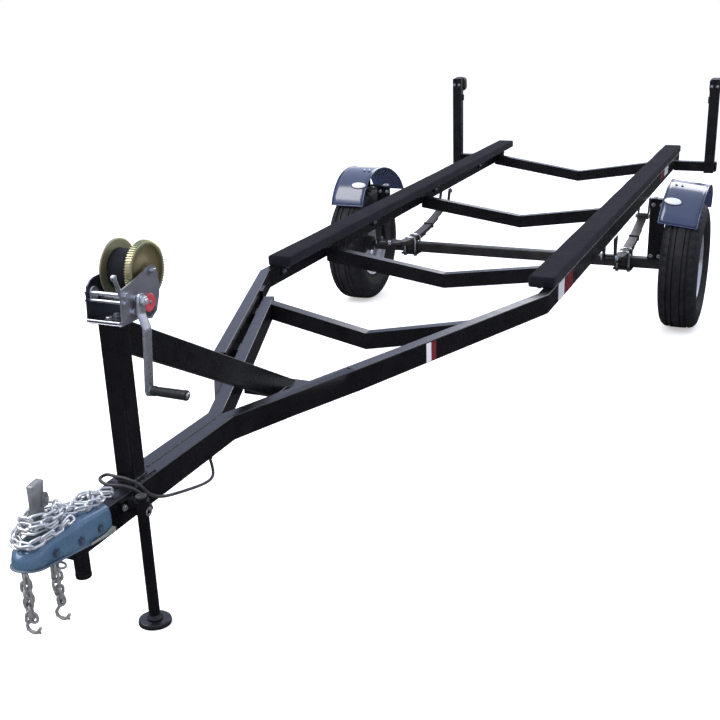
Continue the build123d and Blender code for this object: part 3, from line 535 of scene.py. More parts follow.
# ------------------------------------------------------------------ wheels
SEG = 168
for side, sx in (("left", 1), ("right", -1)):
    body = f"wheel_{side}"
    cx = sx * TRACK / 2
    w = 88.0
    # tyre: profile across, with a moulded sidewall and a treaded crown
    prof = []
    half = [(0.70, 169.6), (0.755, 173), (0.80, 176.5), (0.79, 181), (0.86, 190), (0.93, 203),
            (0.975, 216), (0.99, 219), (0.985, 222), (0.999, 226), (0.998, 240), (0.985, 251),
            (0.99, 254), (0.975, 257), (0.955, 268), (0.925, 277), (0.90, 281), (0.86, 287),
            (0.80, 292), (0.74, 296.2), (0.68, 298.6), (0.60, 300.4), (0.545, 301.2),
            (0.535, 301.4), (0.49, 301.6), (0.48, 301.7), (0.40, 302.3), (0.30, 302.7),
            (0.255, 302.8), (0.245, 302.8), (0.20, 302.9), (0.19, 302.9), (0.10, 303.0), (0.0, 303.0)]
    prof = [(-u * w, r) for u, r in half] + [(u * w, r) for u, r in half[-2::-1]]
    rings = []
    for x, r in prof:
        ring = []
        u = abs(x) / w
        for j in range(SEG):
            q = 2 * math.pi * j / SEG
            rr = r
            if 0.53 <= u <= 0.55 or 0.475 <= u <= 0.495 or 0.185 <= u <= 0.26:
                if 0.475 <= u <= 0.55 or 0.185 <= u <= 0.26:
                    rr = r - (6.5 if (0.475 < u < 0.54 or 0.19 <= u <= 0.25) else 0.0)
            phase = j % 4
            if 0.55 < u < 0.90 and phase == 0:
                rr -= 5.5 if u < 0.82 else 2.5           # shoulder slots
            if 0.26 < u < 0.47 and (j + (2 if x > 0 else 0)) % 6 == 0:
                rr -= 3.5                                # sipes in the middle ribs
            if 0.245 < u < 0.0:
                rr -= 2
            if 0.90 < u < 0.97 and 255 < r < 283 and phase in (1, 2):
                rr += 0.8
            ring.append((cx + x, rr * math.cos(q), AXLE_Z + rr * math.sin(q)))
        rings.append(ring)
    shape = loft(rings, cap=False)
    n, m_ = len(rings), SEG
    shape[1].extend([((n - 1) * m_ + j, (n - 1) * m_ + (j + 1) % m_, (j + 1) % m_, j)
                     for j in range(m_)])
    piece(f"tyre_tread_{side}", shape, body, RUBBER, level=True,
          replaces=(f"tyre_{side}",), angle=28)

    # rim: rolled barrel, and a pressed disc with eight windows and a raised lug ring
    barrel = [(-61.5, 163.5), (-64.5, 165.6), (-65.5, 167.6), (-64, 168.8), (-61, 168.8), (-57, 165.5), (-42, 161),
              (-36, 150), (-26, 143), (10, 143), (20, 150), (30, 160), (50, 163), (57, 165.5),
              (61, 168.8), (64, 168.8), (65.5, 167.6), (64.5, 165.6), (61.5, 163.5), (50, 160), (32, 156.5), (22, 147),
              (12, 140), (-27, 140), (-38, 147), (-44, 158), (-56, 161.5)]
    barrel_s = lathe(barrel, cx, 0, AXLE_Z, 96, flip=sx, closed=True)
    NA = 160
    shape_r = [(34, 12), (44, 12), (47, 16), (62, 20), (66, 26), (80, 31), (90, 31.5), (96, 31), (110, 29),
               (126, 23), (134, 18), (141, 12)]

    def dish_at(r):
        for (ra, da), (rb, db) in zip(shape_r, shape_r[1:]):
            if r <= rb:
                return da + (db - da) * (r - ra) / (rb - ra)
        return shape_r[-1][1]

    def window(r, q):
        """How far a point lies from the nearest window's middle, 1 at its edge."""
        qc = (math.floor(q / (math.pi / 4)) + 0.5) * math.pi / 4
        u, w_ = (q - qc) * 110, r - 110
        d_ = (abs(u / 17.5) ** 2.6 + abs(w_ / 13) ** 2.6) ** (1 / 2.6)
        return d_, qc, u, w_
    radial = [34, 44, 47, 62, 66, 73, 80, 88, 94] + [97 + 2.6 * k for k in range(11)] + [128, 134, 141]
    pos = []
    for r in radial:
        for j in range(NA):
            pos.append((r, 2 * math.pi * j / NA))
    f = []
    for i in range(len(radial) - 1):
        mid = (radial[i] + radial[i + 1]) / 2
        for j in range(NA):
            if window(mid, 2 * math.pi * (j + 0.5) / NA)[0] < 1:
                continue
            k = (j + 1) % NA
            f.append((i * NA + j, i * NA + k, (i + 1) * NA + k, (i + 1) * NA + j))
    v = []
    for r, q in pos:
        d_, qc, u, w_ = window(r, q)
        if 0.05 < d_ < 1:
            r, q = 110 + w_ / d_, qc + u / d_ / 110
        v.append((cx + sx * dish_at(r), r * math.cos(q), AXLE_Z + r * math.sin(q)))
    used = sorted({k for face in f for k in face})
    where = {k: n_ for n_, k in enumerate(used)}
    v = [v[k] for k in used]
    f = [tuple(where[k] for k in face) for face in f]
    disc = piece(f"rim_disc_{side}", (v, f), body, SILVER, level=True,
                 replaces=(f"rim_{side}",))
    so = disc.modifiers.new("thick", "SOLIDIFY")
    so.thickness = 0.0035
    so.offset = 0
    bv = disc.modifiers.new("round", "BEVEL")
    bv.width = 0.0007
    bv.segments = 1
    bv.limit_method = "ANGLE"
    rimp = piece(f"rim_barrel_{side}", barrel_s, body, SILVER, level=True, bevel=0)
    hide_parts(f"rim_{side}")
    # valve stem
    q = math.radians(70)
    valve = sweep([(cx + sx * 30, 128 * math.cos(q), AXLE_Z + 128 * math.sin(q)),
                   (cx + sx * 46, 122 * math.cos(q), AXLE_Z + 122 * math.sin(q)),
                   (cx + sx * 58, 119 * math.cos(q), AXLE_Z + 119 * math.sin(q))], 4.2, 12)
    piece(f"valve_{side}", valve, body, PLUG, level=True)
    # five lug nuts on studs, and the grease cap over the hub
    nuts = []
    for k in range(5):
        q = math.radians(90 + 72 * k)
        y, z = 57 * math.cos(q), AXLE_Z + 57 * math.sin(q)
        nuts.append(bolt(cx + sx * 19, y, z, "x", sx, 20, 15, washer=False))
        nuts.append(lathe([(19, 12.5), (23, 12), (25, 10)], cx, y, z, 20, flip=sx))
        nuts.append(lathe([(30, 6), (41, 6), (42, 5), (43, 2.5)], cx, y, z, 14, flip=sx))
    piece(f"lug_nuts_{side}", merged(*nuts), body, ZINC, level=True, angle=30)
    cap_ = lathe([(12, 33.8), (40, 33.6), (43, 32.6), (44, 30), (50, 27.5), (54.2, 22), (56, 14),
                  (56.6, 6), (56.8, 0.6)], cx, 0, AXLE_Z, 56, flip=sx)
    groove = lathe([(38, 33.6), (38.6, 35.4), (40.6, 35.4), (41.2, 33.4)], cx, 0, AXLE_Z, 56, flip=sx)
    piece(f"grease_cap_{side}", merged(cap_, groove), body, ZINC, level=True)

# ------------------------------------------------------------------ bunks: carpeted boards
for side, sx in (("left", 1), ("right", -1)):
    xc = sx * (581 + 3 - 49)
    section = rounded(49, 21, 9, 5)
    y0, y1, zc = -1545, 1665, 606
    rings = []
    n = 230
    rnd = random.Random(5 if sx > 0 else 6)
    waves = [(rnd.uniform(0.004, 0.02), rnd.uniform(0, 6.3), rnd.uniform(0.1, 0.35)) for _ in range(7)]
    stations = [y0, y0 + 1.5, y0 + 5, y0 + 10] + [y0 + 10 + (y1 - y0 - 20) * k / n for k in range(1, n)] \
        + [y1 - 10, y1 - 5, y1 - 1.5, y1]
    for y in stations:
        e = min(y - y0, y1 - y)
        s = 1 - 0.16 * max(0, 1 - e / 7) ** 2
        ring = []
        for k, (u, v_) in enumerate(section):
            rip = sum(a_ * math.sin(f_ * y + p_ + 0.3 * k) for f_, p_, a_ in waves) * 0.8
            q = math.hypot(u, v_)
            lift = rip + rnd.uniform(-0.25, 0.25)
            uu, vv = u * (1 - 0.10 * max(0, 1 - e / 7) ** 2), v_ * s
            if v_ > 0:
                vv += lift
            uu += (u / q) * 0.4 * lift
            ring.append((xc + uu, y, zc + vv))
        rings.append(ring)
    shape = loft(rings)
    piece(f"bunk_carpet_{side}", shape, mat=CARPET,
          replaces=(f"bunk_{side}",), angle=60)
    # staples along the folded edge underneath, and the seam of the wrap
    st = []
    y = y0 + 30
    while y < y1 - 20:
        st.append(box(xc - sx * 47, xc - sx * 45.6, y, y + 11, zc - 14, zc - 12.6))
        y += 70
    seam = sweep([(xc - sx * 47.3, yy, zc - 6 + 1.2 * math.sin(yy / 60)) for yy in
                  [y0 + 12 + (y1 - y0 - 24) * k / 60 for k in range(61)]], 1.4, 6)
    piece(f"bunk_seam_{side}", seam, mat=CARPET)
    piece(f"bunk_staples_{side}", merged(*st), mat=ZINC, smooth=False)

# ------------------------------------------------------------------ frame details
def weld(points, r=3.0):
    return sweep(smooth_path(points, 3.0), r, 7, ragged=0.22)


beads = []
for name, y, z_end, z_mid in (("second", -1065, 552, 474), ("third", 121, 552, 474),
                              ("rear", 1463, 565, 478)):
    for sx in (1, -1):
        for s in (1, -1):
            beads.append(weld([(sx * 541, y + s * 20.5, z_end - 58), (sx * 540.5, y + s * 20.5, z_end - 2)]))
        beads.append(weld([(sx * 540.5, y - 20, z_end + 0.5), (sx * 540.5, y + 20, z_end + 0.5)]))
    for s in (1, -1):
        beads.append(weld([(0, y + s * 20.3, z_mid - 59), (0, y + s * 20.3, z_mid - 1)], 2.4))
    beads.append(weld([(0, y - 20, z_mid + 0.2), (0, y + 20, z_mid + 0.2)], 2.4))
# post to plate, brace to post, brace to tie, plates to arms
for s in (1, -1):
    beads.append(weld([(-25, -3305 + s * 25.5, 562.5), (25, -3305 + s * 25.5, 562.5)]))
    beads.append(weld([(s * 25.5, -3330, 562.5), (s * 25.5, -3280, 562.5)]))
    beads.append(weld([(s * 20.3, -3279.5, 868), (s * 20.3, -3279.5, 944)]))
    beads.append(weld([(s * 20.3, -2630, 510.6), (s * 20.3, -2552, 510.6)]))
    beads.append(weld([(s * 36, -3352, 557), (s * 36, -3258, 557)], 2.2))
    beads.append(weld([(s * 581.5, 1444, 510), (s * 581.5, 1444, 563)]))
    beads.append(weld([(s * (784 - 27), 1443.2, 510), (s * (784 - 27), 1443.2, 560)]))
    beads.append(weld([(s * (784 + 27), 1443.2, 510), (s * (784 + 27), 1443.2, 560)]))
    for ya, yb in ((-2410, -2350), (-2050, -1990)):
        xa = 40 + (ya + 2895) * 400 / 1045
        xb = 40 + (yb + 2895) * 400 / 1045
        beads.append(weld([(s * (xa + 1), ya, 552), (s * (xb + 1), yb, 552)], 2.6))
# seam where the two tongue tubes meet
beads.append(weld([(0, y, 555.6) for y in range(-3445, -3365, 10)], 2.2))
beads.append(weld([(0, y, 555.6) for y in range(-3240, -2900, 20)], 2.2))
beads.append(weld([(0, y, 486.6) for y in range(-3600, -2900, 25)], 2.2))
piece("weld_beads", merged(*beads), mat=FRAME_BLACK, angle=70)

caps = []
for sx in (1, -1):
    caps.append(box(sx * 543, sx * 579, 1640, 1643.5, 517, 583))
    caps.append(box(sx * 765, sx * 803, 1394, 1437, 1044, 1047))
    xa, ang = 440, math.atan2(400, 1045)
    caps.append(box(sx * 802, sx * 818, 1446, 1480, 1, 1) if False else
                box(sx * 819.5, sx * 822.5, 1446, 1480, 510, 560))
piece("tube_end_caps", merged(*caps), mat=CAP, bevel=1.4)

# bunk bolts and brackets: short angles on the rail's inner face, a bolt up into the board
brk, brb = [], []
for sx in (1, -1):
    for y in (-1500, -560, 300, 1100, 1600):
        brk.append(prism([(sx * 541, 540), (sx * 541, 585.5), (sx * 500, 585.5), (sx * 500, 580.5),
                          (sx * 536, 580.5), (sx * 536, 540)], y - 22, y + 22, "y"))
        brb.append(bolt(sx * 518, y, 580, "z", -1, 13, 7))
        brb.append(bolt(sx * 535.5, y, 556, "x", -sx, 13, 6))
piece("bunk_brackets", merged(*brk), mat=FRAME_BLACK, bevel=0.8)
piece("bunk_bolts", merged(*brb), mat=ZINC, angle=30)

# crossmember gussets and keel pads left off: bare tube, as in the photo


def rail_x(y):
    return 244 + (y + 2530) * (581 - 244) / 913 if y < -1617 else 581.0


def tape(x_of, y0, y1, z0, z1, proud=0.7, n=6):
    rings = []
    for k in range(n + 1):
        y = y0 + (y1 - y0) * k / n
        x = x_of(y)
        rings.append([(x - 0.3, y, z0), (x + proud, y, z0), (x + proud, y, z1), (x - 0.3, y, z1)])
    return loft(rings)


# closing pieces that fair the rails' front ends into the arms
for side, sx in (("left", 1), ("right", -1)):
    ya = -2800.0
    xa = 40 + (ya + 2895) * 400 / 1045
    rows = []
    for t in (0.0, 0.03, 0.2, 0.4, 0.55, 0.7, 0.85, 1.0):
        y = ya + (-2529 - ya) * t
        xo = xa + (244 - xa) * t
        xi = min(xo - 0.5, 40 + (y + 2895) * 400 / 1045 - 1.5)
        xi += (205 - xi) * max(0.0, (t - 0.4) / 0.6) ** 1.5
        z0, z1 = 489 + 26.5 * t, 553 + 31.5 * t
        rows.append([(sx * xi, y, z0), (sx * (xo - 2 * t), y, z0), (sx * xo, y, z0 + 2.5), (sx * xo, y, z1 - 2.5),
                     (sx * (xo - 2 * t), y, z1), (sx * xi, y, z1)])
    piece(f"rail_closer_{side}", loft(rows), mat=FRAME_BLACK, angle=30)

piece("tape_rail_white", tape(rail_x, -2238, -2217, 518, 581), mat=TAPE_W)
piece("tape_rail_red", tape(rail_x, -2216.6, -2195, 518, 581), mat=TAPE_R)
piece("tape_bunk_white", tape(lambda y: 581.0, -1466, -1376, 517, 583), mat=TAPE_W)
piece("tape_bunk_red", tape(lambda y: 581.0, -1375.4, -1238, 517, 583), mat=TAPE_R)
for k, (ya, yb, mm) in enumerate(((900, 1040, TAPE_R), (1041, 1180, TAPE_W))):
    piece(f"tape_rear_{k}", tape(lambda y: 581.0, ya, yb, 540, 583), mat=mm)

# ------------------------------------------------------------------ springs: U-bolts, eye bolts, clips
hard, dark = [], []
for sx in (1, -1):
    x0 = sx * 561
    for y in (-38, 38):
        for s in (-1, 1):
            pass
        path = [(x0 - 28, y, 268), (x0 - 28, y, 345), (x0 - 24, y, 354), (x0 - 12, y, 358.5),
                (x0 + 12, y, 358.5), (x0 + 24, y, 354), (x0 + 28, y, 345), (x0 + 28, y, 268)]
        hard.append(sweep(path, 5.2, 10))
        for s in (-1, 1):
            hard.append(bolt(x0 + s * 28, y, 270, "z", -1, 17, 9))
    dark.append(box(x0 - 26, x0 + 26, -60, 60, 349 + 7.2, 349 + 7.2 + 0.1) if False else
                box(x0 - 23.5, x0 + 23.5, -2, 2, 356, 357.5))
    for y, z in ((-400, 415), (495, 425)):
        hard.append(bolt(x0 + 28.5, y, z, "x", 1, 19, 9))
        hard.append(bolt(x0 - 28.5, y, z, "x", -1, 19, 9))
        dark.append(lathe([(-22.8, 15.2), (22.8, 15.2)], x0, y, z, 28))
    hard.append(bolt(x0 + 28.5, 535, 502, "x", 1, 19, 9))
    hard.append(bolt(x0 - 28.5, 535, 502, "x", -1, 19, 9))
    for y, zc in ((-205, 0), (250, 0)):
        e = (-400, 415) if y < 0 else (495, 425)
        zl = 349 + (e[1] - 4 - 349) * (y / e[0]) ** 2
        dark.append(merged(box(x0 - 25.5, x0 - 22.6, y - 11, y + 11, zl - 16, zl + 8.5),
                           box(x0 + 22.6, x0 + 25.5, y - 11, y + 11, zl - 16, zl + 8.5),
                           box(x0 - 25.5, x0 + 25.5, y - 11, y + 11, zl - 18, zl - 15),
                           box(x0 - 25.5, x0 + 25.5, y - 11, y + 11, zl + 8, zl + 10)))
piece("u_bolts", merged(*hard), mat=ZINC, angle=32)
piece("spring_clips", merged(*dark), mat=AXLE_BLACK, bevel=0.6)

# ------------------------------------------------------------------ fenders: rolled lips, lamp bases, bolts
PATH = [(-205, 548), (-188, 590), (-160, 627), (-128, 656), (-90, 680), (-45, 697), (0, 705),
        (55, 704), (110, 697), (180, 678), (240, 652), (290, 622), (330, 590), (372, 535)]
for side, sx, tiltd in (("left", 1, 6.5), ("right", -1, 0.0)):
    hinge = Matrix.Translation((sx * 755, 0, 700)) \
        @ Matrix.Rotation(math.radians(sx * tiltd), 4, "Y") @ Matrix.Translation((-sx * 755, 0, -700))
    skin = [Vector((0, y, z)) for y, z in PATH]
    line = smooth_path([(0, y, z - 0.5) for y, z in PATH], 12)
    lips = []
    for x in (sx * 757, sx * 933):
        lips.append(sweep([(x, p.y, p.z) for p in line], 3.4, 8))
    lips.append(sweep([(sx * 757, *PATH[0]), (sx * 933, *PATH[0])], 3.2, 8))
    lips.append(sweep([(sx * 757, *PATH[-1]), (sx * 933, *PATH[-1])], 3.2, 8))
    # a smooth outer skin over the faceted sheet
    rows = []
    for p, t, nn, bb in frames(line):
        nv = Vector((0, -t.z, t.y))
        q = p + nv * 0.8
        rows.append([(sx * (757 + 176 * k / 8), q.y, q.z) for k in range(9)])
    skin_s = loft(rows, closed_ring=False, cap=False)
    o = piece(f"fender_skin_{side}", turned(skin_s, hinge), mat=FENDER, angle=60)
    so = o.modifiers.new("thick", "SOLIDIFY")
    so.thickness = 0.0042
    so.offset = -1 if sx > 0 else 1
    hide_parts(f"fender_{side}")
    piece(f"fender_lip_{side}", turned(merged(*lips), hinge), mat=FENDER, angle=60)
    # lamp: base ring and domed lens
    ay, az = (-160 - 128) / 2, (627 + 656) / 2
    sl = math.atan2(656 - 627, -128 + 160)
    X, Yv, N = Vector((1, 0, 0)), Vector((0, math.cos(sl), math.sin(sl))), Vector((0, -math.sin(sl), math.cos(sl)))
    O = Vector((sx * 800, ay, az))

    def oval(h, fa, fb, n=40):
        return [tuple(O + X * (44 * fa * math.cos(2 * math.pi * k / n))
                      + Yv * (20 * fb * math.sin(2 * math.pi * k / n)) + N * h) for k in range(n)]
    lens = loft([oval(0, .9, .88), oval(4, .9, .88), oval(8, .87, .84), oval(11, .79, .74),
                 oval(13.5, .62, .56), oval(15, .36, .32), oval(15.6, .08, .07)])
    base = loft([oval(-1, 1.0, 1.0), oval(3, 1.0, 1.0), oval(4.4, .97, .95), oval(4.6, .9, .87)])
    lo = piece(f"fender_lens_{side}", turned(lens, hinge), mat=CLEAR, angle=50)
    ba = piece(f"fender_lamp_base_{side}", turned(base, hinge), mat=CAP, angle=40)
    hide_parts(f"fender_lamp_{side}")
    fb = [bolt(sx * x, 0 + y, 628.2, "z", 1, 13, 6) for x in (700, 690) for y in (-40, -20)]
    fb += [bolt(sx * x, -31.2, z, "y", -1, 13, 6) for z in (345, 596) for x in (690, 728)]
    fb += [lathe([(0, 7), (2, 6.8), (4, 4.5), (4.8, 1)], sx * x, -31, 704.5 - (0 if sx < 0 else (x - 755) * 0.114),
                 16, axis="z") for x in (790, 818)]
    piece(f"fender_bolts_{side}", merged(*fb), mat=ZINC, angle=32)

# ------------------------------------------------------------------ tail lamps on the guide posts
for side, sx in (("left", 1), ("right", -1)):
    y0 = 1443.0
    sec = rounded(36, 43, 21, 7)

    def lring(y, k):
        return [(sx * 784 + u * k, y, 1007 + w_ * k) for u, w_ in sec]
    housing = loft([lring(y0, 0.95), lring(y0 + 3, 1.0), lring(y0 + 36, 1.0), lring(y0 + 38, 0.97)])
    lens = loft([lring(y0 + 37, 0.93), lring(y0 + 50, 0.93), lring(y0 + 56, 0.88), lring(y0 + 59, 0.74),
                 lring(y0 + 60, 0.4)])
    side_lens = loft([[(sx * (784 + 35.2), y0 + 14 + 11 * math.cos(q), 1007 + 16 * math.sin(q)) for q in
                       (2 * math.pi * k / 24 for k in range(24))],
                      [(sx * (784 + 37.4), y0 + 14 + 9 * math.cos(q), 1007 + 13.5 * math.sin(q)) for q in
                       (2 * math.pi * k / 24 for k in range(24))]])
    o = piece(f"tail_lamp_housing_{side}", housing, mat=LAMP, angle=40,
              replaces=(f"tail_lamp_{side}",))
    o2 = piece(f"tail_lamp_lens_{side}", merged(lens, side_lens), mat=RED_LENS, angle=40)
    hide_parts(f"tail_lamp_{side}")
    xin = -sx if sx > 0 else 1
    stub = sweep(smooth_path([(sx * 784 + 24 * xin, y0 + 4, 975), (sx * 784 + 27 * xin, y0 - 6, 962),
                              (sx * 784 + 31 * xin, y0 - 14, 950), (sx * 784 + 32 * xin, y0 - 16, 925),
                              (sx * 784 + 31 * xin, y0 - 16, 905), (sx * 784 + 27 * xin, y0 - 16, 888)], 3),
                 4.4, 10)
    clip = box(sx * 784 + 20 * xin, sx * 784 + 35.5 * xin, y0 - 24, y0 - 8, 908, 946)
    piece(f"tail_lamp_clip_{side}", clip, mat=CAP, bevel=4, segs=3)
    nb = [bolt(sx * (784 + s * 16), 1387.6, 1007, "y", -1, 11, 5) for s in (-1, 1)]
    piece(f"tail_lamp_bolts_{side}", merged(*nb), mat=ZINC, angle=30)

# ------------------------------------------------------------------ coupler: pressed shell
def cp_half(y):
    return math.sqrt(max(0.0, 42 ** 2 - (y + 3670) ** 2)) if y < -3670 else 42 + (y + 3670) * 3.5 / 220


TOPS = [(-3712, 545), (-3709, 551), (-3704, 557.5), (-3697, 563), (-3684, 569), (-3664, 573),
        (-3630, 576), (-3586, 577), (-3540, 573), (-3500, 569), (-3466, 566), (-3450, 564)]


def cp_top(y):
    for (a0, b0), (a1, b1) in zip(TOPS, TOPS[1:]):
        if y <= a1:
            return b0 + (b1 - b0) * (y - a0) / (a1 - a0)
    return TOPS[-1][1]


def cp_bot(y):
    return 512 - 0.14 * (y + 3600)


stations = [-3707.5, -3706.5, -3704, -3699, -3693, -3685, -3675, -3665, -3650, -3630, -3615, -3600,
            -3585, -3570,
            -3540, -3510, -3480, -3462, -3453, -3450]


def dome_half(y):
    """The dome's half width, set in from the flange at the nose and flush at the rear."""
    inset = 5.0 if y < -3645 else max(0.6, 5.0 - 4.0 * (y + 3645) / 60)
    if y < -3670:
        return math.sqrt(max(1.0, 37.6 ** 2 - (y + 3670) ** 2))
    return cp_half(y) - inset


rows = []
for y in stations:
    w_, zt, zb = max(3.0, dome_half(y)), cp_top(y), cp_bot(y) + 1.5
    nexp = 2.7 if y < -3690 else 3.4 if y < -3650 else 4.6 if y < -3560 else 6.0
    row = []
    for k in range(41):
        t = math.pi * k / 40
        cx_, sx_ = math.cos(t), math.sin(t)
        row.append((w_ * math.copysign(abs(cx_) ** (2 / nexp), cx_), y,
                    zb + (zt - zb) * abs(sx_) ** (2 / nexp)))
    rows.append(row)
shell = loft(rows, closed_ring=False, cap=False)
shell[1].append(tuple(range(40, -1, -1)))
o = piece("coupler_shell", shell, mat=BLUE, replaces=("coupler",), angle=50)
so = o.modifiers.new("thick", "SOLIDIFY")
so.thickness = 0.003
so.offset = 1
so.use_even_offset = False
# turned-out flange round the base, thick and rounded at its edge
edge = [(-45.5 * 1, -3450)]
fl_out, fl_in = [], []
ys = [-3450, -3500, -3550, -3600, -3635, -3660, -3670]
for y in ys:
    fl_out.append((cp_half(y), y))
    fl_in.append((dome_half(y) - 2.5, y))
for k in range(1, 16):
    q = math.pi * k / 16
    fl_out.append((42 * math.cos(q), -3670 - 42 * math.sin(q)))
    fl_in.append((34.5 * math.cos(q), -3670 - 34.5 * math.sin(q)))
for y in ys[::-1]:
    fl_out.append((-cp_half(y), y))
    fl_in.append((-dome_half(y) + 2.5, y))
rings = []
for (xo, yo), (xi, yi) in zip(fl_out, fl_in):
    zo = cp_bot(yo)
    m_ = 0.18
    xm, ym = xo + (xi - xo) * m_, yo + (yi - yo) * m_
    rings.append([(xi, yi, zo + 0.6), (xm, ym, zo - 0.2), (xo, yo, zo + 0.8), (xo, yo, zo + 3.6),
                  (xm, ym, zo + 4.6), (xi, yi, zo + 4.4)])
piece("coupler_flange", loft(rings), mat=BLUE_EDGE, angle=50)
cup = []
for r, z in ((33, 527), (30, 528.5), (28.5, 532), (28.5, 541), (27, 549), (22, 556), (14, 560.5),
             (5, 562.4), (0.5, 562.6)):
    cup.append([(r * math.cos(2 * math.pi * k / 40), -3672 + r * math.sin(2 * math.pi * k / 40), z)
                for k in range(40)])
o = piece("coupler_cup", loft(cup, cap=False), mat=LATCH, angle=60)
so = o.modifiers.new("thick", "SOLIDIFY")
so.thickness = 0.002
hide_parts("coupler")
# side bolts in the darker blue copy: painted shade
cb = []
for y, z in ((-3490, 524), (-3556, 527), (-3632, 538)):
    for sx in (1, -1):
        xx = sx * (dome_half(y) + 0.6)
        cb.append(bolt(xx, y, z, "x", sx, 13, 4.5))
piece("coupler_bolts", merged(*cb), mat=BLUE_DARK, angle=32)
tab = [prism([(-3530, 503), (-3530, 509), (-3478, 506), (-3452, 512), (-3440, 504), (-3444, 494)],
             sx * 45.2, sx * 47.4, "x") for sx in (1, -1)]
piece("coupler_tab", merged(*tab), mat=TAN, bevel=0.8)

# latch lever: folded channel standing up from the coupler, on a pivot pin
front = [(-3654, 574), (-3648, 600), (-3643, 640), (-3641, 690)]
rear = [(-3618, 577), (-3618, 600), (-3614, 640), (-3607, 694)]
lev = []
rows_f, rows_b = [], []
sect = []
for (yf, zf), (yr, zr), hw in zip(front, rear, (7.5, 7.5, 7.2, 8.8)):
    sect.append([(-hw, yr, zr), (-hw, yf + 4, zf), (-hw + 3, yf, zf), (hw - 3, yf, zf), (hw, yf + 4, zf),
                 (hw, yr, zr)])
lv = loft(sect, closed_ring=False, cap=False)
o = piece("latch_lever", lv, mat=LATCH, replaces=("coupler_latch",), angle=50)
so = o.modifiers.new("thick", "SOLIDIFY")
so.thickness = 0.0028
so.offset = 0
so2 = o.modifiers.new("bev", "BEVEL")
so2.width = 0.0008
so2.limit_method = "ANGLE"
ltop = loft([[(-9.2, -3642, 687), (9.2, -3642, 687), (9.2, -3606, 691), (-9.2, -3606, 691)],
             [(-8, -3640, 691.5), (8, -3640, 691.5), (8, -3608, 695.5), (-8, -3608, 695.5)]])
lpin = merged(sweep([(-9, -3632, 600), (9, -3632, 600)], 5, 14),
              bolt(8.4, -3632, 600, "x", 1, 12, 5), bolt(-8.4, -3632, 600, "x", -1, 12, 5))
piece("latch_top", ltop, mat=LATCH, bevel=1.5)
piece("latch_pin", lpin, mat=ZINC, angle=35)
lug = prism([(-3622, 636), (-3606, 634), (-3600, 650), (-3603, 664), (-3612, 668), (-3620, 660)],
            8.0, 12.5, "x")
piece("latch_lug", merged(lug, bolt(12.3, -3611, 650, "x", 1, 10, 4)), mat=LATCH, bevel=0.8,
      angle=40)
knurl = []
for k in range(9):
    knurl.append((576 + k * 3.6, 8.2 if k % 2 else 7.2))
kn = lathe(knurl + [(608, 5), (616, 5), (617, 3)], 0, -3590, 0, 24, axis="z")
piece("latch_adjuster", kn, mat=LATCH, angle=30)

# ------------------------------------------------------------------ chains
hang = []
for x, y, z0, z1, r0 in ((12, -3703, 522, 402, 0.5), (36, -3638, 514, 402, 1.2)):
    # the run folds back on itself, so two strands hang twisted together
    for half in (0, 1):
        strand = []
        n = 14
        for k in range(n + 1):
            q = 3.6 * k / n + math.pi * half
            wide = 5.4 * min(1.0, 0.15 + 1.5 * k / n)
            strand.append((x + wide * math.cos(q), y + wide * math.sin(q), z0 + (z1 - z0) * k / n))
        hang.append(chain(strand, 19, 6.6, roll=r0 + 0.8 * half, jitter=0.25, width=22))
    z = z1 - 4
    # forged hook with a flared mouth and an eye
    hook = [(x + 1, y, z + 27), (x - 2, y, z + 17), (x - 8, y - 1, z + 8), (x - 14, y - 1, z - 2), (x - 12, y, z - 12),
            (x - 2, y, z - 17), (x + 9, y, z - 15), (x + 15, y + 1, z - 8), (x + 19, y + 2, z - 3)]
    hang.append(sweep(smooth_path(hook, 2.5), 3.8, 10))
    hang.append(sweep([(x + 7 * math.cos(q) + 1, y + 2, z + 24 + 7 * math.sin(q)) for q in
                       (2 * math.pi * k / 18 for k in range(18))], 2.6, 8, closed=True))
    hang.append(sweep([(x - 17, y - 1, z - 13), (x + 18, y + 1, z - 15)], 2.6, 8))
ring = []
for k in range(26):
    q = 2 * math.pi * k / 26
    ring.append((47 + 14 * math.cos(q), -3634 + 7 * math.sin(q), 512 + 3.0 * math.sin(q)))
hang.append(sweep(ring, 2.8, 8, closed=True))
piece("chain_ends", merged(*hang), mat=CHAIN_DULL, replaces=("safety_chains",), angle=60)
heap = [(-14, -3552, 585), (-34, -3574, 586), (-37, -3618, 586), (-31, -3662, 584),
        (-4, -3686, 580), (25, -3680, 580), (37, -3640, 585), (33, -3596, 587),
        (10, -3572, 592), (-18, -3584, 600), (-30, -3618, 603), (-24, -3656, 602),
        (12, -3668, 601), (31, -3634, 604), (22, -3594, 603), (4, -3556, 592),
        (-8, -3520, 584), (-20, -3484, 578), (-20, -3448, 574), (4, -3420, 567),
        (30, -3402, 564)]
heap2 = [(30, -3560, 585), (40, -3602, 588), (39, -3652, 588), (18, -3690, 580), (-18, -3688, 582),
         (-37, -3654, 590), (-40, -3606, 592), (-24, -3566, 592), (8, -3540, 588), (25, -3508, 581),
         (12, -3472, 577), (-10, -3446, 577), (-6, -3412, 570), (18, -3386, 563)]
heap3 = [(-20, -3570, 600), (12, -3560, 604), (33, -3600, 612), (28, -3650, 614), (-6, -3668, 612),
         (-30, -3640, 612), (-26, -3596, 616), (4, -3574, 620), (24, -3604, 624), (18, -3646, 624),
         (-14, -3656, 622), (-24, -3622, 624)]
heap4 = [(-24, -3520, 582), (2, -3500, 584), (26, -3480, 580), (22, -3448, 576), (-6, -3430, 574),
         (-26, -3452, 575), (-22, -3490, 580)]
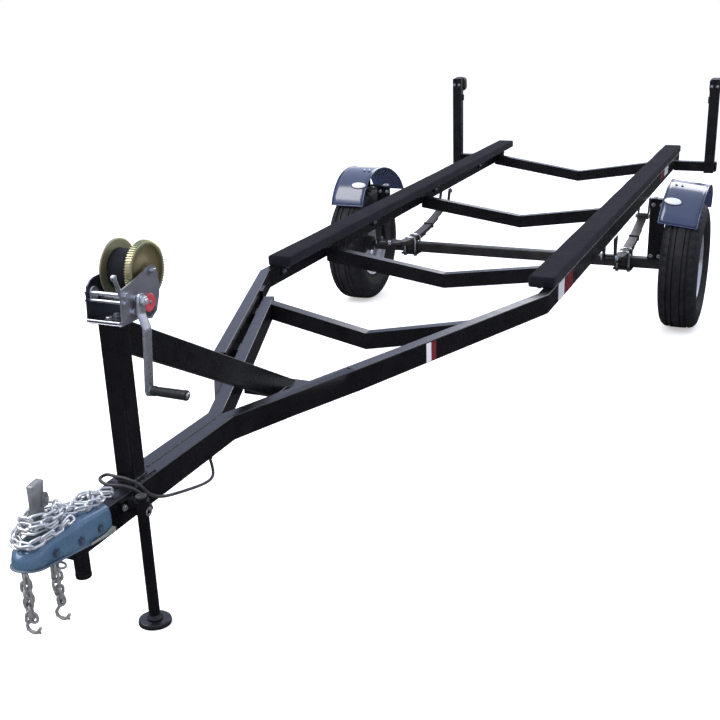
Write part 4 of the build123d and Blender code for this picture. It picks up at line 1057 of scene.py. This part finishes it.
pile = merged(chain(heap, 26, 6.2, roll=0.35, jitter=0.45, width=21),
              chain(heap2, 26, 6.2, roll=1.1, jitter=0.5, width=21),
              chain(heap3, 26, 6.2, roll=0.7, jitter=0.5, width=21),
              chain(heap4, 26, 6.2, roll=0.2, jitter=0.5, width=21))
piece("chain_heap", pile, mat=CHAIN, replaces=("chain_pile",), angle=60)

# ------------------------------------------------------------------ winch
DY, DZ = -3216.0, 1046.0
CY, CZ = -3282.0, 996.0
TEETH = 67


def gear(teeth, root, tip, x0, x1, cy, cz, phase=0.0):
    pts = []
    for k in range(teeth):
        for f_, r in ((0.0, root), (0.22, root), (0.36, tip), (0.64, tip), (0.78, root)):
            q = 2 * math.pi * (k + f_) / teeth + phase
            pts.append((r * math.cos(q), r * math.sin(q)))
    return pts


teeth = gear(TEETH, 66.2, 70.2, 0, 0, 0, 0)
outer0 = [(29.5, DY + u, DZ + w_) for u, w_ in teeth]
outer1 = [(43.5, DY + u, DZ + w_) for u, w_ in teeth]
nn_ = len(teeth)
inner = []
for x, r in ((44, 65.4), (44.4, 63), (44, 59.5), (34.5, 58.5), (33.2, 56), (33, 30), (36, 24), (36, 12), (36.2, 5.9)):
    inner.append([(x, DY + r * math.cos(2 * math.pi * k / nn_), DZ + r * math.sin(2 * math.pi * k / nn_))
                  for k in range(nn_)])
back = []
for x, r in ((29, 13), (29, 62)):
    back.append([(x, DY + r * math.cos(2 * math.pi * k / nn_), DZ + r * math.sin(2 * math.pi * k / nn_))
                 for k in range(nn_)])
ring_s = loft(back + [outer0, outer1] + inner[:3], cap=False)
web_s = loft(inner[2:], cap=False)
piece("drum_gear", ring_s, "winch_spool", GOLD, replaces=("winch_drum",), angle=30)
# the recessed web in the darker gold copy: painted shade
o = piece("drum_web", web_s, "winch_spool", GOLD_DARK, angle=40)
fl = lathe([(-34.2, 14), (-34.2, 66), (-34.6, 69.5), (-36, 71), (-37.6, 70.6), (-37.4, 68.6), (-36.4, 66),
            (-36.4, 24), (-38.5, 18), (-38.5, 7)], 0, DY, DZ, 96)
piece("drum_flange", fl, "winch_spool", GOLD, angle=40)
hubp = lathe([(-47, 2), (-47.8, 5), (-47, 6), (44, 6), (55, 6), (56, 5), (56, 2)], 0, DY, DZ, 32)
piece("drum_shaft", hubp, "winch_spool", ZINC, angle=40)
prof = [(-33, 16.2)]
k = 0
r = 20.0
while r < 46.5:
    prof += [(-33 + (0.7 if k % 2 else 0.0), r), (-33 + (0.0 if k % 2 else 0.7), r + 1.2)]
    r += 2.4
    k += 1
prof += [(-32.6, 46.6), (-31.5, 47), (26.6, 47), (27.6, 46.6)]
r = 45.4
while r > 18:
    prof += [(28 - (0.7 if k % 2 else 0.0), r), (28 - (0.0 if k % 2 else 0.7), r - 1.2)]
    r -= 2.4
    k += 1
prof += [(28, 16.2)]
piece("strap_roll", lathe(prof, 0, DY, DZ, 64), "winch_spool", STRAP,
      replaces=("winch_strap",), angle=50)

# crank: swung arm pressed as a shallow channel, shaft, pinion and nut
SW = Matrix.Translation((0, CY, CZ)) @ Matrix.Rotation(math.radians(-6.5), 4, "X") \
    @ Matrix.Translation((0, -CY, -CZ))
ARM = 207.0
prof_x = [(66.2, CZ + 15.5, 6.0), (66.2, CZ + 12, 10.5), (66.2, CZ + 4, 13.6), (66.2, CZ - 8, 14),
          (66.2, 968, 14), (67.0, 963, 14), (79.2, 936, 14), (80.0, 929, 14), (80.0, 918, 14),
          (80.0, 850, 14), (80.0, CZ - ARM + 2, 14), (80.0, CZ - ARM - 6, 12.5),
          (80.0, CZ - ARM - 12, 7.5), (80, CZ - ARM - 13.8, 3)]
rows = []
for x, z, hw in prof_x:
    k = min(1.0, hw / 14)
    pts = []
    # outline of the bar's section: crowned outside face with turned-in edges
    for u, t in ((-hw, -3.6), (-hw, 1.2), (-hw * .88, 3.0), (-hw * .5, 3.9), (0, 4.1), (hw * .5, 3.9),
                 (hw * .88, 3.0), (hw, 1.2), (hw, -3.6), (hw * .8, -3.9), (hw * .74, -1.2), (0, -0.6),
                 (-hw * .74, -1.2), (-hw * .8, -3.9)):
        pts.append((x + t, CY + u, z))
    rows.append(pts)
arm_s = turned(loft(rows), SW)
arm = piece("crank_arm", arm_s, "winch_handle", ZINC, replaces=("winch_crank",), angle=48)
pin = [(29 + 15 * k / 1, 10.9) for k in (0, 1)]
shaft = merged(
    lathe([(-49, 2), (-49, 6), (-48, 7), (29, 7), (29, 9.0), (44, 9.0), (44, 7),
           (70, 7), (70.5, 11), (71.5, 12), (72, 12), (72, 7), (73, 6), (73, 2)], 0, CY, CZ, 36),
    lathe([(71.5, 13.2), (73, 13.2), (73.2, 12.4), (73.2, 7)], 0, CY, CZ, 36))
pin_t = gear(14, 10.4, 12.4, 0, 0, 0, 0, 0.1)
shaft = merged(shaft, loft([[(x, CY + u, CZ + w_) for u, w_ in pin_t] for x in (29.4, 43.6)]))
piece("crank_nut", merged(bolt(73, CY, CZ, "x", 1, 19, 6.5, washer=False),
                          lathe([(79, 6), (82.5, 5.6), (83.5, 4), (83.5, 1)], 0, CY, CZ, 20)),
      "winch_handle", CHAIN, angle=32)
piece("crank_shaft", shaft, "winch_handle", ZINC, angle=35)
gz = CZ - ARM
handle = merged(
    lathe([(83.5, 5), (83.8, 9), (87, 9.5)], 0, CY, gz, 24),
    lathe([(181.5, 7.2), (183.6, 7.0), (185.4, 5.4), (186, 2)], 0, CY, gz, 24),
    lathe([(75.6, 2), (75.2, 6.4), (76.4, 7.4), (77.6, 7.4)], 0, CY, gz, 24))
piece("grip_pin", turned(handle, SW), "winch_handle", ZINC, angle=35)
gp = [(87, 6), (87.2, 10.6), (88.5, 12.2), (97, 12.4), (99, 11.4)]
for k in range(12):
    x = 102 + k * 5.9
    r = 11.2 + 0.8 * k / 11
    gp += [(x, r), (x + 0.9, r - 0.7), (x + 2.0, r - 0.7), (x + 2.9, r + 0.05)]
gp += [(174, 12.2), (177, 12.5), (180, 12.4), (181.7, 11.2), (182, 9.5), (182, 6)]
piece("grip_sleeve", turned(lathe(gp, 0, CY, gz, 40), SW), "winch_handle", GRIP,
      replaces=("crank_grip",), angle=40)

# ratchet cover: ten-sided red cap with a raised boss and screw
cy_, cz_ = -3236.0, 977.0


def deca(r, x, n=10, turn=0.1):
    return [(x, cy_ + r * math.cos(2 * math.pi * k / n + turn), cz_ + r * math.sin(2 * math.pi * k / n + turn))
            for k in range(n)]


piece("ratchet_cap", loft([deca(22.6, 52.2), deca(22.6, 55.0), deca(19.6, 57.8), deca(13.5, 58.2),
                           deca(12.0, 57.0), deca(6, 57.2)]), mat=RED,
      replaces=("ratchet_cover",), angle=18)
piece("ratchet_under", prism([(-3254, 952), (-3240, 944), (-3222, 948), (-3214, 960), (-3220, 968), (-3250, 966)],
                             52.1, 54.8, "x"), mat=CAP, bevel=0.8)
piece("ratchet_screw", lathe([(57, 5), (58.4, 4.6), (58.8, 3), (58.8, 0.5)], 0, cy_, cz_, 20), mat=ZINC)
# pawl lever, rounded, with a turned head
pv = Vector((0, -3326, 1014))
ph = Vector((0, -3341, 1061))
lever = sweep([(46, pv.y, pv.z), (46, (pv.y + ph.y) / 2, (pv.z + ph.z) / 2), (44, ph.y, ph.z)], 5.0, 12)
head = lathe([(-5, 2), (-5.5, 5), (-3, 7), (3, 7), (5.5, 5), (5, 2)], 43.5, ph.y, ph.z, 24)
blade = prism([(-3330, 1010), (-3320, 1012), (-3330, 1042), (-3338, 1062), (-3346, 1058), (-3340, 1036)],
              44.2, 47.8, "x")
piece("pawl_lever", merged(lever, head, blade), mat=ZINC, replaces=("winch_pawl",), bevel=0.5,
      angle=40)
lip_ = merged(sweep([(x, -3340.4, 957.5) for x in (-41, -20, 0, 20, 46)], 2.4, 10),
              sweep([(x, -3340.6, 951.0) for x in (-43, -20, 0, 20, 50)], 1.6, 10),
              sweep([(-43.2, y, 951.6) for y in (-3339, -3300, -3250, -3200)], 1.8, 10))
piece("winch_lip", lip_, mat=ZINC, angle=60)
# nuts on the plates
wn = [bolt(52, -3321, 1016, "x", 1, 13, 6), bolt(52, -3293, 1003, "x", 1, 12, 7),
      bolt(52, -3300, 974, "x", 1, 12, 6), bolt(-45, -3321, 1016, "x", -1, 13, 6),
      bolt(-45, -3325, 1000, "x", -1, 11, 5), bolt(52, -3325, 1000, "x", 1, 11, 5)]
wn += [bolt(0, -3318, 955, "z", 1, 13, 6), bolt(0, -3290, 955, "z", 1, 13, 6)]
piece("winch_bolts", merged(*wn), mat=ZINC, angle=32)
wn2 = [bolt(56, DY, DZ, "x", 1, 13, 6), bolt(-48, DY, DZ, "x", -1, 13, 6)]
piece("drum_nuts", merged(*wn2), "winch_spool", ZINC, angle=32)
# collar round the sleeve on the far plate
col = lathe([(-45, 9), (-45, 17), (-46, 18), (-48, 18), (-49, 16.5), (-49, 9)], 0, -3310, 1012, 36)
inn = lathe([(-41, 9), (-41, 15), (-39, 16), (-37, 15), (-37, 9)], 0, -3310, 1012, 36)
piece("winch_bushing", merged(col, inn), mat=ZINC, angle=40)

# ------------------------------------------------------------------ stand: pull pin with ring, foot weld
LX, LY = 80.0, -3381.0
ringp = [(LX + 17 + 0.5, LY + 9 * math.cos(q), 521 + 9 * math.sin(q)) for q in
         (2 * math.pi * k / 24 for k in range(24))]
st = merged(sweep([(LX + 12, LY, 530), (LX + 24, LY, 530)], 4, 12), sweep(ringp, 1.9, 8, closed=True),
            bolt(46, LY - 20, 532, "x", 1, 11, 5), bolt(46, LY + 20, 532, "x", 1, 11, 5))
piece("stand_pin", st, mat=LATCH, angle=40)
fy = LY
leg_foot = F(LX, LY, AXLE_Z + (12 - AXLE_Z - SP * LY) / CP)
collar = []
for z, r in ((12, 17), (14, 19), (17, 18), (22, 14.4), (24, 13.9)):
    collar.append([(LX + r * math.cos(2 * math.pi * k / 32),
                    leg_foot.y * 1000 - AXLE_Y + r * math.sin(2 * math.pi * k / 32), z) for k in range(32)])
rim_ = lathe([(0.2, 37.5), (1.5, 39.2), (5, 39.6), (8, 39), (9.5, 37)], LX, leg_foot.y * 1000 - AXLE_Y, 0, 64,
             axis="z")
piece("foot_collar", merged(loft(collar), rim_), "drop_leg", FRAME_BLACK, level=True, angle=50)
piece("leg_cap", lathe([(0, 13.6), (2, 13.8), (3.6, 13), (4.4, 10), (4.6, 1)], LX, LY, 556.5, 28, axis="z"),
      "drop_leg", CAP, angle=50)
piece("jack_socket_collar", merged(
    lathe([(0.2, 14.6), (0.2, 16.6), (1.4, 18.2), (5, 18.7), (8, 18.6), (9.5, 18.1), (9.5, 14.6)], 0, -3515, 407,
          48, axis="z", closed=True),
    weld([(18.4 * math.cos(2 * math.pi * k / 16), -3515 + 18.4 * math.sin(2 * math.pi * k / 16), 485)
          for k in range(17)], 2.4)), mat=FRAME_BLACK, angle=50)
# hub back: seal ring
for side, sx in (("left", 1), ("right", -1)):
    piece(f"hub_seal_{side}", lathe([(-55, 17), (-55, 30), (-56, 33), (-58.5, 33), (-59, 30), (-59, 17)],
                                    sx * TRACK / 2, 0, AXLE_Z, 40, flip=sx, closed=True), f"wheel_{side}",
          CAP, level=True, angle=40)

# ------------------------------------------------------------------ floor and light
bpy.ops.mesh.primitive_plane_add(size=1600, location=(0, 0, 0))
floor = bpy.context.object
floor.name = "floor"
fm = bpy.data.materials.new("floor_pale")
fm.use_nodes = True
fp = fm.node_tree.nodes["Principled BSDF"]
fp.inputs["Base Color"].default_value = (0.90, 0.90, 0.91, 1)
fp.inputs["Roughness"].default_value = 0.95
fp.inputs["Specular IOR Level"].default_value = 0.1
fp.inputs["Emission Color"].default_value = (1.0, 0.975, 0.92, 1)
fp.inputs["Emission Strength"].default_value = 0.48
floor.data.materials.append(fm)
floor.visible_glossy = False

world = bpy.data.worlds.new("studio")
bpy.context.scene.world = world
world.use_nodes = True
wn_ = world.node_tree
bg = wn_.nodes["Background"]
tc = wn_.nodes.new("ShaderNodeTexCoord")
sep = wn_.nodes.new("ShaderNodeSeparateXYZ")
wn_.links.new(tc.outputs["Generated"], sep.inputs["Vector"])
# a white horizon, a cooler sky above it, and dark ground for what polished steel reflects
rz = wn_.nodes.new("ShaderNodeValToRGB")
cr = rz.color_ramp
cr.elements[0].position = 0.0
cr.elements[0].color = (0.035, 0.035, 0.04, 1)
cr.elements[1].position = 1.0
cr.elements[1].color = (0.80, 0.86, 1.0, 1)
for pos, col in ((0.490, (0.05, 0.05, 0.055, 1)), (0.4965, (0.98, 0.98, 1.0, 1)), (0.54, (1.0, 1.0, 1.0, 1)),
                 (0.60, (0.60, 0.66, 0.93, 1)), (0.75, (0.64, 0.71, 0.98, 1))):
    e_ = cr.elements.new(pos)
    e_.color = col
mz = wn_.nodes.new("ShaderNodeMapRange")
mz.inputs["From Min"].default_value = -1.0
mz.inputs["From Max"].default_value = 1.0
wn_.links.new(sep.outputs["Z"], mz.inputs["Value"])
wn_.links.new(mz.outputs["Result"], rz.inputs["Fac"])
my = wn_.nodes.new("ShaderNodeMapRange")
my.inputs["From Min"].default_value = -0.7
my.inputs["From Max"].default_value = 0.4
my.inputs["To Min"].default_value = 0.8
my.inputs["To Max"].default_value = 1.0
wn_.links.new(sep.outputs["Y"], my.inputs["Value"])
wn_.links.new(rz.outputs["Color"], bg.inputs["Color"])
wn_.links.new(my.outputs["Result"], bg.inputs["Strength"])
# the backdrop itself is plain white, from any side
plain = wn_.nodes.new("ShaderNodeBackground")
plain.inputs["Color"].default_value = (1, 1, 1, 1)
plain.inputs["Strength"].default_value = 1.0
lp_ = wn_.nodes.new("ShaderNodeLightPath")
mw = wn_.nodes.new("ShaderNodeMixShader")
wn_.links.new(lp_.outputs["Is Camera Ray"], mw.inputs[0])
wn_.links.new(bg.outputs["Background"], mw.inputs[1])
wn_.links.new(plain.outputs["Background"], mw.inputs[2])
wn_.links.new(mw.outputs["Shader"], wn_.nodes["World Output"].inputs["Surface"])


def area(name, loc, target, size, power, colour=(1, 1, 1)):
    l = bpy.data.lights.new(name, "AREA")
    l.shape = "RECTANGLE"
    l.size, l.size_y = size
    l.energy = power
    l.color = colour
    o = bpy.data.objects.new(name, l)
    bpy.context.collection.objects.link(o)
    o.location = loc
    o.rotation_euler = (Vector(target) - Vector(loc)).to_track_quat("-Z", "Y").to_euler()
    return o


area("key", (-3.0, -3.5, 5.5), (0, -0.6, 0.4), (5, 5), 420, (1.0, 0.98, 0.95))
area("back", (1.0, 6.5, 5.0), (0, 0, 0.4), (7, 4), 320, (0.97, 0.97, 1.0))
